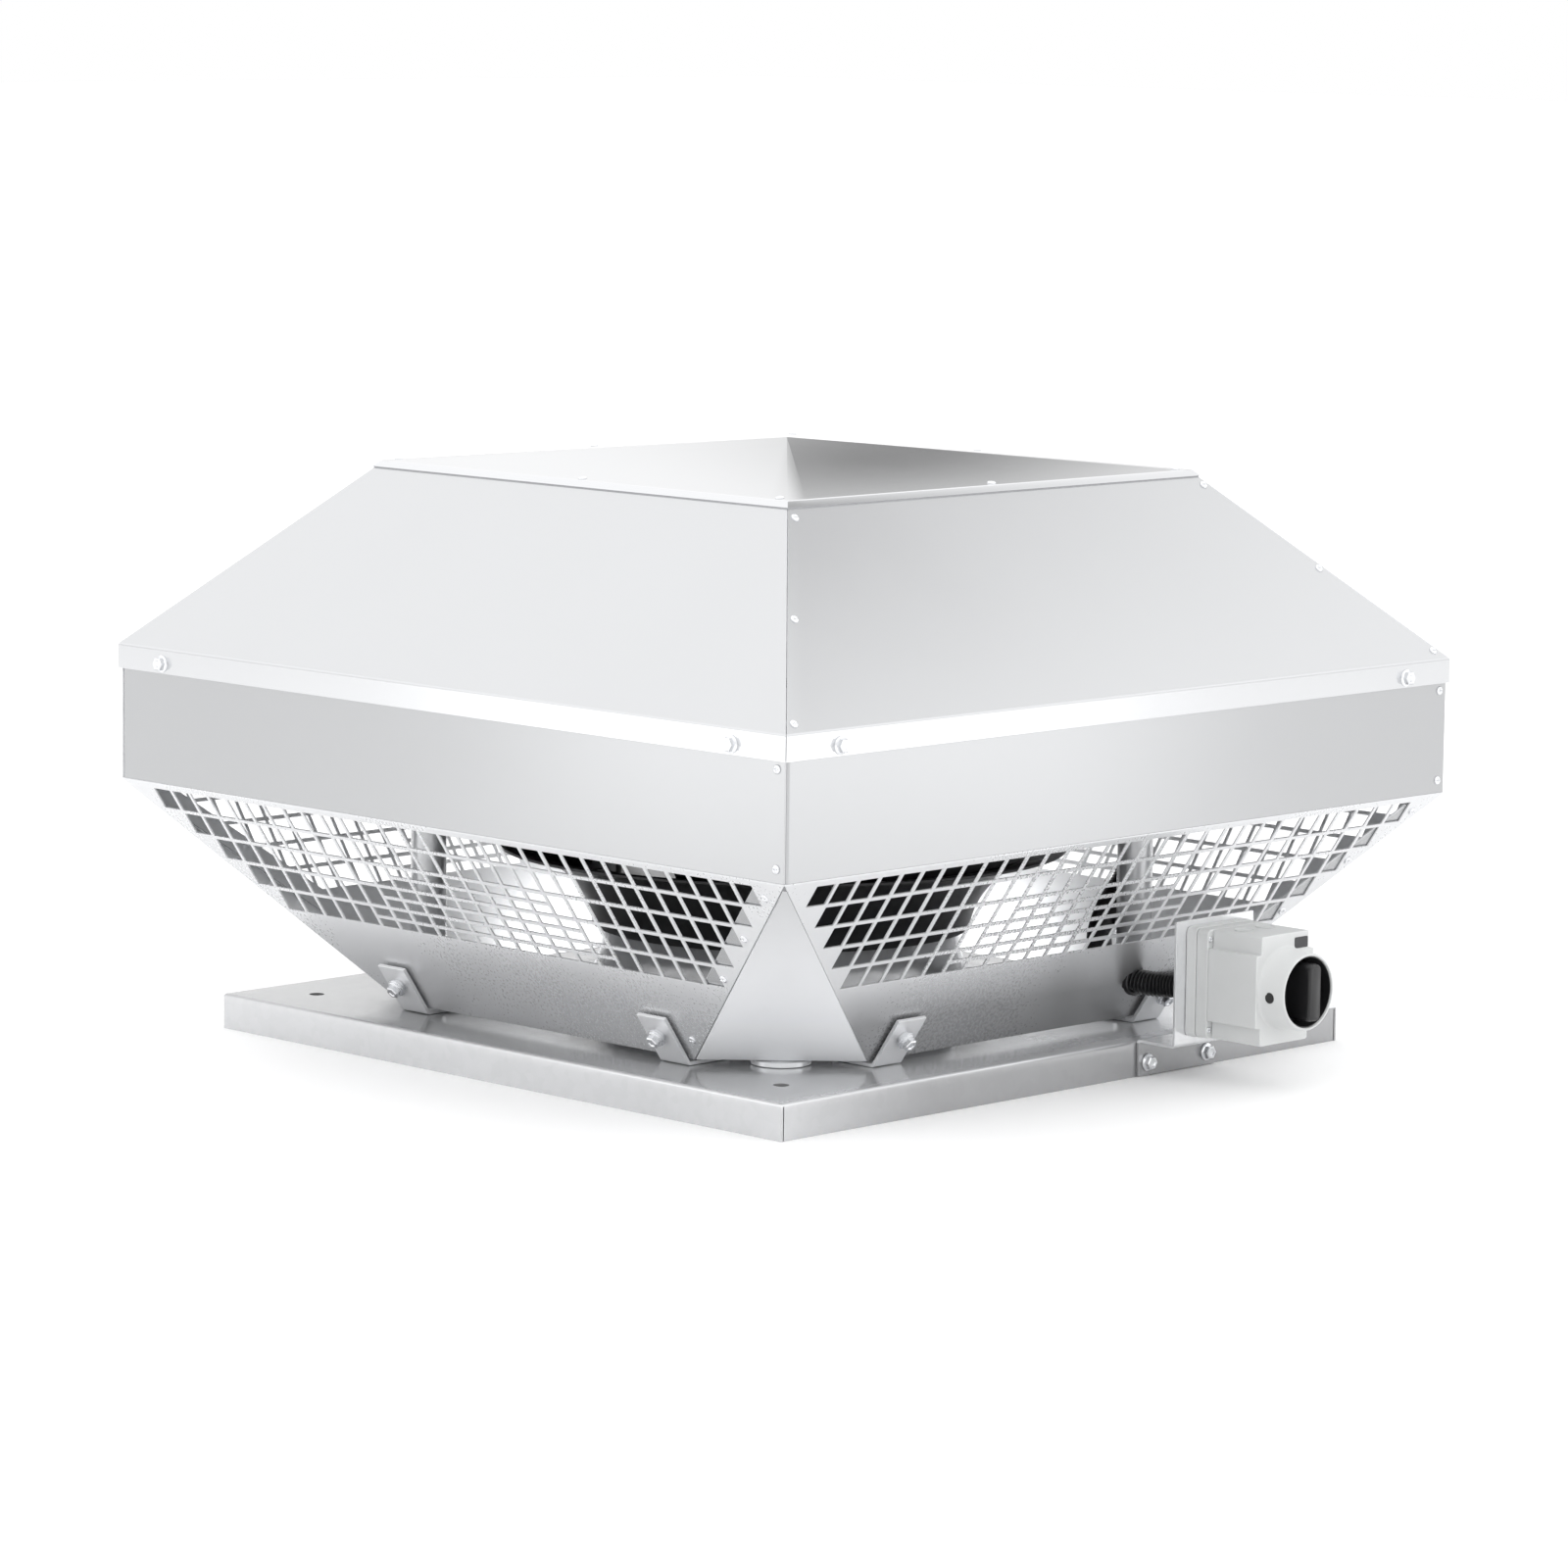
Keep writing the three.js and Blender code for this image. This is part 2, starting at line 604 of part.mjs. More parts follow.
// The contact block sits in the base; the knob's shaft ends inside it.
function contactBlock() {
  const { half, depth, below, above, well } = CONTACTS;
  const { x, z } = MIDDLE;
  const rear = BOX_REAR + SWITCH.wall + GAP;
  const block = box(x - half, -rear - depth, z - below, x + half, -rear, z + above);
  return cut(block, bar(KNOB.shaft + 0.4, V(x, -rear - depth - 1, z), V(x, -rear - well, z), 18));
}

// A round disc with an upright grip across it, on a shaft that reaches back into the box.
function switchKnob() {
  const { disc, discDepth, gripWidth, gripHeight, reach, shaft: radius, shaftEnd } = KNOB;
  const { x, z } = MIDDLE;
  const face = SWITCH.front + GAP + 0.5;
  const plate = bar(disc, V(x, -face, z), V(x, -face - discDepth, z), 36);
  const [w, h] = [gripWidth / 2, gripHeight / 2];
  const grip = box(x - w, -face - reach, z - h, x + w, -face - discDepth + 1, z + h);
  return join(plate, grip, bar(radius, V(x, -BOX_REAR - shaftEnd, z), V(x, -face - 1, z), 18));
}

function flangeBolt(at) {
  const out = (depth) => at.clone().add(V(0, -depth, 0));
  const flange = bar(BOLT.flange, at, out(BOLT.flangeHeight), 20);
  return join(bar(BOLT.head, at, out(BOLT.headHeight), 6), flange);
}

add("switch_bracket", switchBracket(), "galvanised");
add("switch_base", switchBase(), "housing");
add("switch_lid", switchLid(), "housing");
add("switch_contact_block", contactBlock(), "black");
add("switch_knob", switchKnob(), "black");
add("conduit", conduit(), "black");

["left", "right"].forEach((end, i) => {
  const x = BRACKET.x + ((i * 2 - 1) * BRACKET.boltPitch) / 2;
  const at = V(x, -BASE.half - BRACKET.sheet - 2 * GAP, BRACKET.boltZ);
  add("bracket_bolt_" + end, flangeBolt(at), "zinc");
});

// A plastic bush lines the conduit's way through the grille's lower band.
function conduitBush() {
  const { x, v, radius, wall, rim, rimHeight, depth } = CABLE_ENTRY;
  const outer = radius - GAP;
  const inner = outer - wall;
  const inside = -SHEET - depth;
  const sleeve = [[inner, inside], [outer, inside], [outer, GAP]];
  const flange = [[radius + rim, GAP], [radius + rim, GAP + rimHeight], [inner, GAP + rimHeight]];
  const turn = new THREE.Quaternion().setFromUnitVectors(V(0, 0, 1), IN.clone().negate());
  const centre = V(x, -SIDE.half, SIDE.low).addScaledVector(DOWN, v);
  return turned([...sleeve, ...flange], 24).applyQuaternion(turn).translate(...centre);
}

// The motor's terminal box stands on the motor plate, with the gland that takes the conduit.
function terminalBox() {
  const { x, front, depth, width, height } = TERMINAL;
  const z = PLATE.z + PLATE.sheet + GAP;
  return box(x - width / 2, -front, z, x + width / 2, depth - front, z + height);
}

function conduitGland() {
  const [x, y, z] = CONDUIT_ROUTE[CONDUIT_ROUTE.length - 1];
  return bar(TERMINAL.gland, V(x, -TERMINAL.front - GAP, z), V(x, y + GAP, z), 6);
}

add("conduit_bush", conduitBush(), "black");
add("terminal_box", terminalBox(), "casting");
add("conduit_gland", conduitGland(), "black");

export default fan;
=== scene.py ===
"""Roof exhaust fan: folded sheet hood with punched grilles over a backward-curved impeller, on a tray.

Run as a script inside Blender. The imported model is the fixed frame; this file adds the visible surfaces.
All lengths are metres in the frame's own axes: +Z up, the fan's axis at x = y = 0, -Y the switch side.
"""

import math

import bmesh
import bpy
import numpy as np
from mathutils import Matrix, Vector


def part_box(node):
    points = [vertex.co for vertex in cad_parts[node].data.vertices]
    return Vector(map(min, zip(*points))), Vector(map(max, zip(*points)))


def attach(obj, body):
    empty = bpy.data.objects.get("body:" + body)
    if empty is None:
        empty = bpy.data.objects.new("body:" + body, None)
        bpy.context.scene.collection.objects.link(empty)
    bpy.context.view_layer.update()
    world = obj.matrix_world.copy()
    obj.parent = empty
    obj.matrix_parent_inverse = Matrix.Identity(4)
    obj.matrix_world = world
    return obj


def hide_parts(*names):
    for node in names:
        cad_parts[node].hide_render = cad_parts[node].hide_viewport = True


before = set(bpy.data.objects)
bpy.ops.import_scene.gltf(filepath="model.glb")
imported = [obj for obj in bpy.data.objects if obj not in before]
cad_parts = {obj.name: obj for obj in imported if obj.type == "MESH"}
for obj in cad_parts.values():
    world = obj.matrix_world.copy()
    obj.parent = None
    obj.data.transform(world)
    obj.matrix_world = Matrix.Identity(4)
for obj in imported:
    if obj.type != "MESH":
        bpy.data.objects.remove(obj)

bl_info = {
    "name": "Roof exhaust fan",
    "version": (1, 0, 0),
    "blender": (4, 5, 0),
    "location": "3D View > Sidebar > Fan",
    "description": "Builds the visible surfaces of a roof exhaust fan round its packed frame",
    "category": "Object",
}

MM = 0.001
TAU = 2 * math.pi
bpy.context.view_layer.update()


def span(node):
    """The lowest and highest corners of a frame node, as arrays."""
    low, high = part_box(node)
    return np.array(low), np.array(high)


TRAY_HIGH = span("base_tray")[1]
NOZZLE_LOW, NOZZLE_HIGH = span("inlet_nozzle")
SHROUD_LOW, SHROUD_HIGH = span("impeller_shroud")
BACK_LOW, BACK_HIGH = span("impeller_back_plate")
ROOF_LOW = span("roof_slope_south")[0]
BELT_LOW, BELT_HIGH = span("hood_belt_south")
BRACKET_LOW, BRACKET_HIGH = span("switch_bracket")
BOX_LOW, BOX_HIGH = span("switch_base")
LID_LOW, LID_HIGH = span("switch_lid")
SIDES = ("south", "east", "north", "west")
CORNERS = ("southwest", "southeast", "northeast", "northwest")

HOOD_MIDDLE = np.array([0, 0, 240 * MM])
TRAY_TOP = TRAY_HIGH[2]
TRAY_HALF = TRAY_HIGH[0]
BELT_HALF = -BELT_LOW[1]
FOLD_Z = BELT_LOW[2] - 1.0 * MM  # where the belt turns into the inclined grille
FOOT_HALF = 271.3 * MM  # the grille's lower edge
FOOT_Z = 35.4 * MM
FOOT_WIDTH = 174.5 * MM
RUN = math.hypot(BELT_HALF - FOOT_HALF, FOLD_Z - FOOT_Z)
TILT = math.atan2(BELT_HALF - FOOT_HALF, FOLD_Z - FOOT_Z)  # the turn of the sheet at the fold
ROOF_HALF = -ROOF_LOW[1]
SKIRT_LOW = ROOF_LOW[2]
SKIRT_HIGH = 326.6 * MM
CREASE_HALF = 239.8 * MM
CREASE_Z = 481.1 * MM
APEX_Z = span("roof_cap")[1][2]
PITCH = math.atan2(CREASE_Z - SKIRT_HIGH, ROOF_HALF - CREASE_HALF)
SWITCH_X = (BOX_LOW[0] + BOX_HIGH[0]) / 2
SWITCH_Z = (BOX_LOW[2] + BOX_HIGH[2]) / 2
SWITCH_FRONT = LID_LOW[1] + 25 * MM  # the lid's face, behind the collar's reach
FLOOR_HALF = 30.0
CAMERA = {"azimuth": -45.22, "elevation": 7.57, "roll": 0.674, "distance": 5.059, "lens": 138.076,
          "shift": (0.000625, -0.01425)}


# ---- properties --------------------------------------------------------------------------------------
def length(name, description, millimetres):
    size = millimetres * MM
    return bpy.props.FloatProperty(name=name, description=description, default=size, unit="LENGTH")


def count(name, description, default):
    return bpy.props.IntProperty(name=name, description=description, default=default, min=1)


def colour(name, description, default):
    return bpy.props.FloatVectorProperty(name=name, description=description, default=default, subtype="COLOR")


class FanSizes(bpy.types.PropertyGroup):
    sheet: length("Hood sheet", "Thickness of the hood's sheet", 1.5)
    bend: length("Bend radius", "Outside radius of the folds", 3.0)
    pitch_across: length("Opening pitch across", "Spacing of the openings along a row", 23.75)
    pitch_down: length("Opening pitch down", "Spacing of the rows of openings", 24.5)
    strand: length("Strand", "Metal left between two openings", 3.5)
    first_row: length("Strip above the openings", "Plain strip under the fold", 5.8)
    rows: count("Rows", "Rows of openings in a grille", 5)
    columns: count("Columns", "Openings in the top row", 30)
    blades: count("Blades", "Blades of the impeller", 7)
    rib_pitch: length("Rib pitch", "Spacing of the conduit's ribs", 3.3)


class FanColours(bpy.types.PropertyGroup):
    hood: colour("Hood sheet", "Bare metal of the hood", (0.545, 0.55, 0.56))
    tray: colour("Galvanised sheet", "Metal of the tray", (0.62, 0.625, 0.635))
    impeller: colour("Impeller", "Coating of the impeller", (0.018, 0.018, 0.020))
    switch: colour("Switch box", "Moulding of the switch box", (0.60, 0.61, 0.61))
    black: colour("Black moulding", "Knob and conduit", (0.012, 0.012, 0.013))
    zinc: colour("Zinc", "Bolts and screws", (0.78, 0.79, 0.81))


# ---- mesh making -------------------------------------------------------------------------------------
class Shape:
    """Points and faces gathered from several closed surfaces, in metres."""

    def __init__(self):
        self.points, self.faces, self.count = [], [], 0

    def put(self, points, faces):
        points = np.asarray(points, float).reshape(-1, 3)
        self.faces += [[i + self.count for i in face] for face in faces]
        self.points.append(points)
        self.count += len(points)
        return self

    def grid(self, P, around=False, ends=False, flip=False):
        """A surface P[i, j]; around joins the last j to the first, ends closes the first and last i."""
        nu, nv = P.shape[:2]
        index = np.arange(nu * nv).reshape(nu, nv)
        a, b = index[:-1], index[1:]
        if around:
            quads = np.stack([a, b, np.roll(b, -1, 1), np.roll(a, -1, 1)], -1)
        else:
            quads = np.stack([a[:, :-1], b[:, :-1], b[:, 1:], a[:, 1:]], -1)
        faces = quads.reshape(-1, 4).tolist()
        if ends:
            faces += [index[0].tolist(), index[-1][::-1].tolist()]
        if flip:
            faces = [face[::-1] for face in faces]
        return self.put(P, faces)

    def shell(self, outer, inner, solid=None, around=False):
        """A wall between two like grids; solid marks the cells that hold metal, and the rims are closed.

        The outer cells keep their order, the inner ones are turned round, and a wall stands on each edge
        between a cell with metal and one without. Around says that the last column is the first again.
        """
        nu, nv = outer.shape[:2]
        if solid is None:
            solid = np.ones((nu - 1, nv - 1), bool)
        top = np.arange(nu * nv).reshape(nu, nv)
        low = top + nu * nv
        corners = lambda g: np.stack([g[:-1, :-1], g[1:, :-1], g[1:, 1:], g[:-1, 1:]], -1)
        quads = [corners(top)[solid], corners(low)[solid][:, ::-1]]
        pad = np.pad(solid, 1)
        if around:
            pad[1:-1, 0], pad[1:-1, -1] = solid[:, -1], solid[:, 0]
        here, before, left = pad[1:, 1:], pad[:-1, 1:], pad[1:, :-1]
        for edge, one, two in (
            ((here & ~before)[:, :-1], (0, 0), (0, 1)),
            ((~here & before)[:, :-1], (0, 1), (0, 0)),
            ((here & ~left)[:-1], (1, 0), (0, 0)),
            ((~here & left)[:-1], (0, 0), (1, 0)),
        ):
            i, j = np.nonzero(edge)
            p, q = (i + one[0], j + one[1]), (i + two[0], j + two[1])
            quads.append(np.stack([top[p], top[q], low[q], low[p]], -1))
        return self.put(np.concatenate([outer.reshape(-1, 3), inner.reshape(-1, 3)]),
                        np.concatenate(quads).tolist())

    def prism(self, outline, start, end):
        """An outline of points carried from one offset to another; start and end are vectors."""
        outline = np.asarray(outline, float)
        return self.grid(np.stack([outline + start, outline + end]), around=True, ends=True)

    def moved(self, turn=None, shift=(0, 0, 0)):
        """A copy turned by a matrix whose columns are its new axes, then shifted."""
        points = np.concatenate(self.points)
        if turn is not None:
            points = points @ np.asarray(turn, float).T
        copy = Shape()
        return copy.put(points + np.asarray(shift, float), self.faces)

    def take(self, other):
        return self.put(np.concatenate(other.points), other.faces)


def quarter_turns(P, turns):
    """P turned by whole quarter turns about the fan's axis."""
    c, s = ((1, 0), (0, 1), (-1, 0), (0, -1))[turns % 4]
    return P @ np.array([[c, s, 0], [-s, c, 0], [0, 0, 1]], float)


def turned(profile, sides):
    """Points of a profile of (radius, height) pairs carried round the axis, one ring to a pair."""
    profile = np.asarray(profile, float)
    a = np.linspace(0, TAU, sides, endpoint=False)
    r, z = profile[:, :1], profile[:, 1:]
    return np.stack([r * np.cos(a), r * np.sin(a), np.broadcast_to(z, (len(profile), sides))], -1)


def lathe(profile, sides):
    """The closed ring that a profile of (radius, height) points makes round the axis."""
    profile = np.asarray(profile, float)
    return Shape().grid(turned(np.concatenate([profile, profile[:1]]), sides), around=True)


def rounded(points, radius, steps=5):
    """An open polyline whose inner corners are replaced by tangent arcs of a radius (or one per corner)."""
    points = [np.asarray(p, float) for p in points]
    radii = np.broadcast_to(radius, len(points))
    out = [points[0]]
    for before, here, after, r in zip(points, points[1:], points[2:], radii[1:]):
        u, v = before - here, after - here
        u, v = u / np.linalg.norm(u), v / np.linalg.norm(v)
        half = math.acos(np.clip(u @ v, -1, 1)) / 2
        reach = r / math.tan(half)
        middle = here + (u + v) / np.linalg.norm(u + v) * r / math.sin(half)
        a, b = here + u * reach - middle, here + v * reach - middle
        t = np.linspace(0, 1, steps)[:, None]
        angle = math.pi - 2 * half
        out += list(middle + (np.sin((1 - t) * angle) * a + np.sin(t * angle) * b) / math.sin(angle))
    return np.array(out + [points[-1]])


def offset(path, distance):
    """A plane path moved sideways to its left, corner by corner."""
    step = np.gradient(path, axis=0)
    step /= np.linalg.norm(step, axis=1, keepdims=True)
    return path + distance * np.stack([-step[:, 1], step[:, 0]], -1)


def four_quarters(quarter):
    """A closed outline from its upper right quarter, mirrored both ways."""
    back = quarter[::-1]
    return np.concatenate([quarter, back * [-1, 1], quarter * [-1, -1], back * [1, -1]])


def strip(path, sideways, low, high):
    """A flat strip bent along a path of (y, z) points, its thickness set to one side of the path."""
    x = np.array([low, high])[:, None]

    def lay(p):
        rows = [np.broadcast_to(v, (2, len(p))) for v in (x, p[:, 0], p[:, 1])]
        return np.stack(rows, -1)

    return lay(path), lay(offset(path, sideways))


def make(name, shape, material, body, replaces=(), edge=0.0, smooth=35, segments=2, lining=None):
    """The object of a shape: doubles merged, normals outwards, edges eased, riding on its body.

    The material and the second material are names of MATERIALS. The second goes on the faces that look
    towards the middle of the hood: a lighter copy of the sheet, painted light on its inside.
    """
    mesh = bpy.data.meshes.new(name)
    mesh.from_pydata(np.concatenate(shape.points), [], shape.faces)
    work = bmesh.new()
    work.from_mesh(mesh)
    bmesh.ops.remove_doubles(work, verts=work.verts, dist=2e-6)
    bmesh.ops.recalc_face_normals(work, faces=work.faces)
    work.to_mesh(mesh)
    work.free()
    piece = bpy.data.objects.new(name, mesh)
    bpy.context.scene.collection.objects.link(piece)
    mesh.materials.append(MATERIALS[material])
    mesh.shade_smooth()
    # Painted light: the faces towards the hood's middle take the lighter second material.
    if lining:
        mesh.materials.append(MATERIALS[lining])
        centre, normal = (np.empty(3 * len(mesh.polygons)) for _ in range(2))
        mesh.polygons.foreach_get("center", centre)
        mesh.polygons.foreach_get("normal", normal)
        outward = ((centre.reshape(-1, 3) - HOOD_MIDDLE) * normal.reshape(-1, 3)).sum(1)
        mesh.polygons.foreach_set("material_index", (outward < 0).astype(np.int32))
    if edge:
        bevel = piece.modifiers.new("Eased edges", "BEVEL")
        bevel.width, bevel.segments, bevel.limit_method = edge, segments, "ANGLE"
        bevel.angle_limit = math.radians(40)
        bevel.harden_normals = True
    mesh.set_sharp_from_angle(angle=math.radians(smooth))
    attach(piece, body)
    if replaces:
        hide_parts(*replaces)
    return piece


def from_frame(node, material, body, edge, smooth=30, segments=2):
    """A merged copy of a frame node, flat faces joined, with its edges eased."""
    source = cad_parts[node].data
    work = bmesh.new()
    work.from_mesh(source)
    bmesh.ops.remove_doubles(work, verts=work.verts, dist=2e-6)
    bmesh.ops.dissolve_limit(work, angle_limit=math.radians(1), verts=work.verts, edges=work.edges)
    shape = Shape().put([v.co for v in work.verts], [[v.index for v in f.verts] for f in work.faces])
    work.free()
    return make(node + "_skin", shape, material, body, (node,), edge, smooth, segments)


# ---- materials ---------------------------------------------------------------------------------------
class Socket:
    """A shader socket whose arithmetic adds Math nodes."""

    def __init__(self, tree, link):
        self.tree, self.link = tree, link

    def _math(self, operation, *values):
        return self.tree.node("ShaderNodeMath", {"operation": operation}, *values)["Value"]

    def __add__(self, other):
        return self._math("ADD", self, other)

    __radd__ = __add__

    def __sub__(self, other):
        return self._math("SUBTRACT", self, other)

    def __rsub__(self, other):
        return self._math("SUBTRACT", other, self)

    def __mul__(self, other):
        return self._math("MULTIPLY", self, other)

    __rmul__ = __mul__

    def __truediv__(self, other):
        return self._math("DIVIDE", self, other)

    def __rtruediv__(self, other):
        return self._math("DIVIDE", other, self)

    def __pow__(self, other):
        return self._math("POWER", self, other)

    def __rpow__(self, other):
        return self._math("POWER", other, self)

    def clamped(self):
        return self.tree.node("ShaderNodeClamp", {}, self)["Result"]


class Tree:
    """The node tree of one material or world, and the shader that its set() fills."""

    def __init__(self, owner, shader="Principled BSDF"):
        self.material = bpy.data.materials.new(owner) if isinstance(owner, str) else owner
        self.material.use_nodes = True
        self.tree = self.material.node_tree
        self.shader = self.tree.nodes[shader]

    def node(self, kind, settings, *values, **named):
        """Makes a node, sets its settings, then gives its sockets values or links; returns its outputs."""
        made = self.tree.nodes.new(kind)
        for key, value in settings.items():
            setattr(made, key, value)
        by_name = [(made.inputs[key], value) for key, value in named.items()]
        for socket, value in [*zip(made.inputs, values), *by_name]:
            self.fill(socket, value)
        return {output.name: Socket(self, output) for output in made.outputs}

    def fill(self, socket, value):
        if isinstance(value, Socket):
            self.tree.links.new(value.link, socket)
        else:
            socket.default_value = value

    def place(self, scale=(1, 1, 1)):
        at = self.node("ShaderNodeTexCoord", {})["Object"]
        return self.node("ShaderNodeMapping", {}, Vector=at, Scale=scale)["Vector"]

    def noise(self, scale, detail=2.0, roughness=0.5, stretch=(1, 1, 1)):
        return self.node("ShaderNodeTexNoise", {}, Vector=self.place(stretch), Scale=scale, Detail=detail,
                         Roughness=roughness)["Fac"]

    def mix(self, factor, one, two):
        self.node("ShaderNodeMix", {"data_type": "RGBA"})
        made = self.tree.nodes[-1]
        for index, value in ((0, factor), (6, (*one, 1)), (7, (*two, 1))):
            self.fill(made.inputs[index], value)
        return Socket(self, made.outputs[2])

    def axes(self):
        """The place's x, y and z as three sockets."""
        split = self.node("ShaderNodeSeparateXYZ", {}, self.place())
        return split["X"], split["Y"], split["Z"]

    def scaled(self, colour, factor):
        return self.node("ShaderNodeVectorMath", {"operation": "SCALE"}, colour, Scale=factor)["Vector"]

    def bump(self, height, distance, strength=1.0):
        return self.node("ShaderNodeBump", {}, Height=height, Distance=distance, Strength=strength)["Normal"]

    def set(self, **values):
        for key, value in values.items():
            self.fill(self.shader.inputs[key.replace("_", " ")], value)
        return self.material


def shade(colour, factor, lift=0.0):
    return tuple(c * factor + lift for c in colour)


def bare_sheet(name, colour, rough, spread, haze, metal=0.85, tone=None):
    """Bare sheet metal: slow cloudy tone, faint rolling lines and a slightly uneven gloss.

    A tone, if one is given, is a factor on the colour worked out from x, y and z: painted light and shade by
    place on the sheet.
    """
    t = Tree(name)
    cloud = t.noise(5.0, 3.0)
    grain = t.noise(420.0, 2.0, 0.6)
    roll = t.noise(26.0, 4.0, 0.6, (1, 1, 14))
    streak = (cloud * 0.7 + roll * 0.3).clamped()
    # Painted light and shade: the colour scaled by the tone.
    base = t.mix(streak, shade(colour, 1 - haze), shade(colour, 1 + haze))
    if tone:
        base = t.scaled(base, tone(*t.axes()))
    return t.set(
        Base_Color=base,
        Metallic=metal,
        Roughness=(rough + (cloud - 0.5) * spread + (grain - 0.5) * 0.04).clamped(),
        Normal=t.bump(grain * 0.2 + roll * 0.3, 0.000008),
    )


def galvanised(colours):
    """Zinc-coated sheet: small crystals of slightly different tone under a soft haze, with painted light and
    shade across its top and sides.
    """
    t = Tree("Galvanised sheet")
    crystal = t.node("ShaderNodeTexVoronoi", {"feature": "F1"}, Vector=t.place(), Scale=130.0)["Color"]
    crystal = t.node("ShaderNodeSeparateColor", {}, crystal)["Red"]
    cloud = t.noise(7.0, 3.0)
    grain = t.noise(500.0, 2.0)
    colour = colours.tray
    base = t.mix((crystal * 0.5 + cloud * 0.5).clamped(), shade(colour, 0.96), shade(colour, 1.04))
    # Painted light and shade by place: under the top face the colour drops to 0.64 away from the west end,
    # and on the top it runs from 0.66 at the north-west to 1.26 at the south-east.
    x, y, z = t.axes()
    top = ((z - TRAY_TOP + 2 * MM) * 1000).clamped()
    side = 1 - ((x + TRAY_HALF) * 6).clamped() * 0.36
    face = 0.66 + ((x - y) / TRAY_HALF * 0.5 + 0.5).clamped() * 0.6
    return t.set(
        Base_Color=t.scaled(base, side + top * (face - side)),
        Metallic=0.6,
        Roughness=(0.17 + crystal * 0.05 + (cloud - 0.5) * 0.12 + (grain - 0.5) * 0.04).clamped(),
        Normal=t.bump(crystal * 0.2 + cloud, 0.00001),
    )


def moulded(name, colour, rough, grain_height=0.00003):
    """Moulded plastic with a fine spark-eroded texture."""
    t = Tree(name)
    cloud = t.noise(22.0, 3.0)
    grain = t.noise(1500.0, 2.0, 0.6)
    return t.set(
        Base_Color=t.mix(cloud, shade(colour, 0.94), shade(colour, 1.06)),
        Roughness=(rough + (cloud - 0.5) * 0.08 + (grain - 0.5) * 0.1).clamped(),
        Normal=t.bump(grain, grain_height),
    )


def coated(name, colour, rough):
    """Dark coated metal with dusty patches."""
    t = Tree(name)
    dust = t.noise(14.0, 4.0, 0.6)
    grain = t.noise(700.0, 2.0)
    return t.set(
        Base_Color=t.mix((dust * 1.6 - 0.5).clamped(), shade(colour, 0.85), shade(colour, 1.4, 0.004)),
        Roughness=(rough + (dust - 0.5) * 0.2).clamped(),
        Normal=t.bump(grain, 0.00003),
    )


def bright_metal(name, colour, rough):
    """Plated or ground small parts with tool marks."""
    t = Tree(name)
    marks = t.noise(900.0, 3.0, 0.6)
    cloud = t.noise(60.0, 2.0)
    return t.set(
        Base_Color=t.mix(cloud, shade(colour, 0.9), shade(colour, 1.05)),
        Metallic=1.0,
        Roughness=(rough + (marks - 0.5) * 0.12).clamped(),
        Normal=t.bump(marks, 0.00002),
    )


MATERIALS = {}


def make_materials(colours):
    # Painted light on the roof's skirt: 1.15 on the skirt against 1.0 on the slope.
    skirt = lambda x, y, z: 1.15 - ((z - SKIRT_HIGH) * 900).clamped() * 0.15
    # Painted light and shade on the gussets: lighter towards the foot, darker towards the fold.
    foot = lambda x, y, z: 1.2 - ((z - FOOT_Z) / (FOLD_Z - FOOT_Z) - 0.2).clamped() * 0.7
    # Painted shade on the grilles' lower band: darker below 0.11 m, most of all on the south and east
    # grilles.
    band_painted_shade = lambda x, y, z: 1 - ((0.11 - z) * 25).clamped() * (((x - y) * 12).clamped() * 0.34 + 0.12)
    # Copies of the hood's colour: painted shade on the belts and flanges at 0.82, painted light on the cap,
    # grilles, lugs, gusset plates, pillars and inner faces.
    MATERIALS.update(
        hood=bare_sheet("Hood sheet", shade(colours.hood, 0.82), 0.25, 0.06, 0.02),
        grille=bare_sheet("Grille sheet", shade(colours.hood, 1.3), 0.28, 0.06, 0.02, 0.6, band_painted_shade),
        roof=bare_sheet("Roof sheet", colours.hood, 0.2, 0.05, 0.02, 0.9, skirt),
        cap=bare_sheet("Cap sheet", shade(colours.hood, 1.15), 0.1, 0.03, 0.012, 1.0),
        gusset=bare_sheet("Gusset sheet", shade(colours.hood, 1.52), 0.4, 0.06, 0.02, 0.2, foot),
        lining=bare_sheet("Hood lining", shade(colours.hood, 1.65), 0.35, 0.06, 0.02, 0.15),
        lug=bare_sheet("Lug strip", shade(colours.hood, 1.35), 0.3, 0.06, 0.02, 0.4),
        pillar=bare_sheet("Pillar tube", shade(colours.hood, 1.6), 0.24, 0.06, 0.03, 0.4),
        tray=galvanised(colours),
        impeller=coated("Impeller coating", colours.impeller, 0.42),
        casting=coated("Motor casting", (0.045, 0.048, 0.052), 0.5),
        steel=bright_metal("Ground steel", (0.55, 0.56, 0.57), 0.25),
        zinc=bright_metal("Zinc plating", colours.zinc, 0.2),
        switch=moulded("Switch moulding", colours.switch, 0.42),
        black=moulded("Black moulding", colours.black, 0.34),
        label=moulded("Blank plate", (0.03, 0.03, 0.034), 0.3, 0.00001),
        # Painted shade: the black of the padlock's hole.
        rubber=moulded("Painted hole shade", (0.02, 0.02, 0.02), 0.6),
    )


# ---- hood sides --------------------------------------------------------------------------------------
def grille_lines(sizes):
    """Lines along and down the flat grille that bound its openings, the half strands among them."""
    half = sizes.strand / 2
    columns = (np.arange(sizes.columns + 1) - sizes.columns / 2) * sizes.pitch_across
    across = np.sort(np.concatenate([columns - half, columns + half, [-0.45, 0.45]]))
    opening = sizes.pitch_down - sizes.strand
    tops = sizes.first_row + np.arange(sizes.rows) * sizes.pitch_down
    middle = tops + opening / 2
    return across, np.sort(np.concatenate([tops, tops + opening, middle - half, middle + half]))


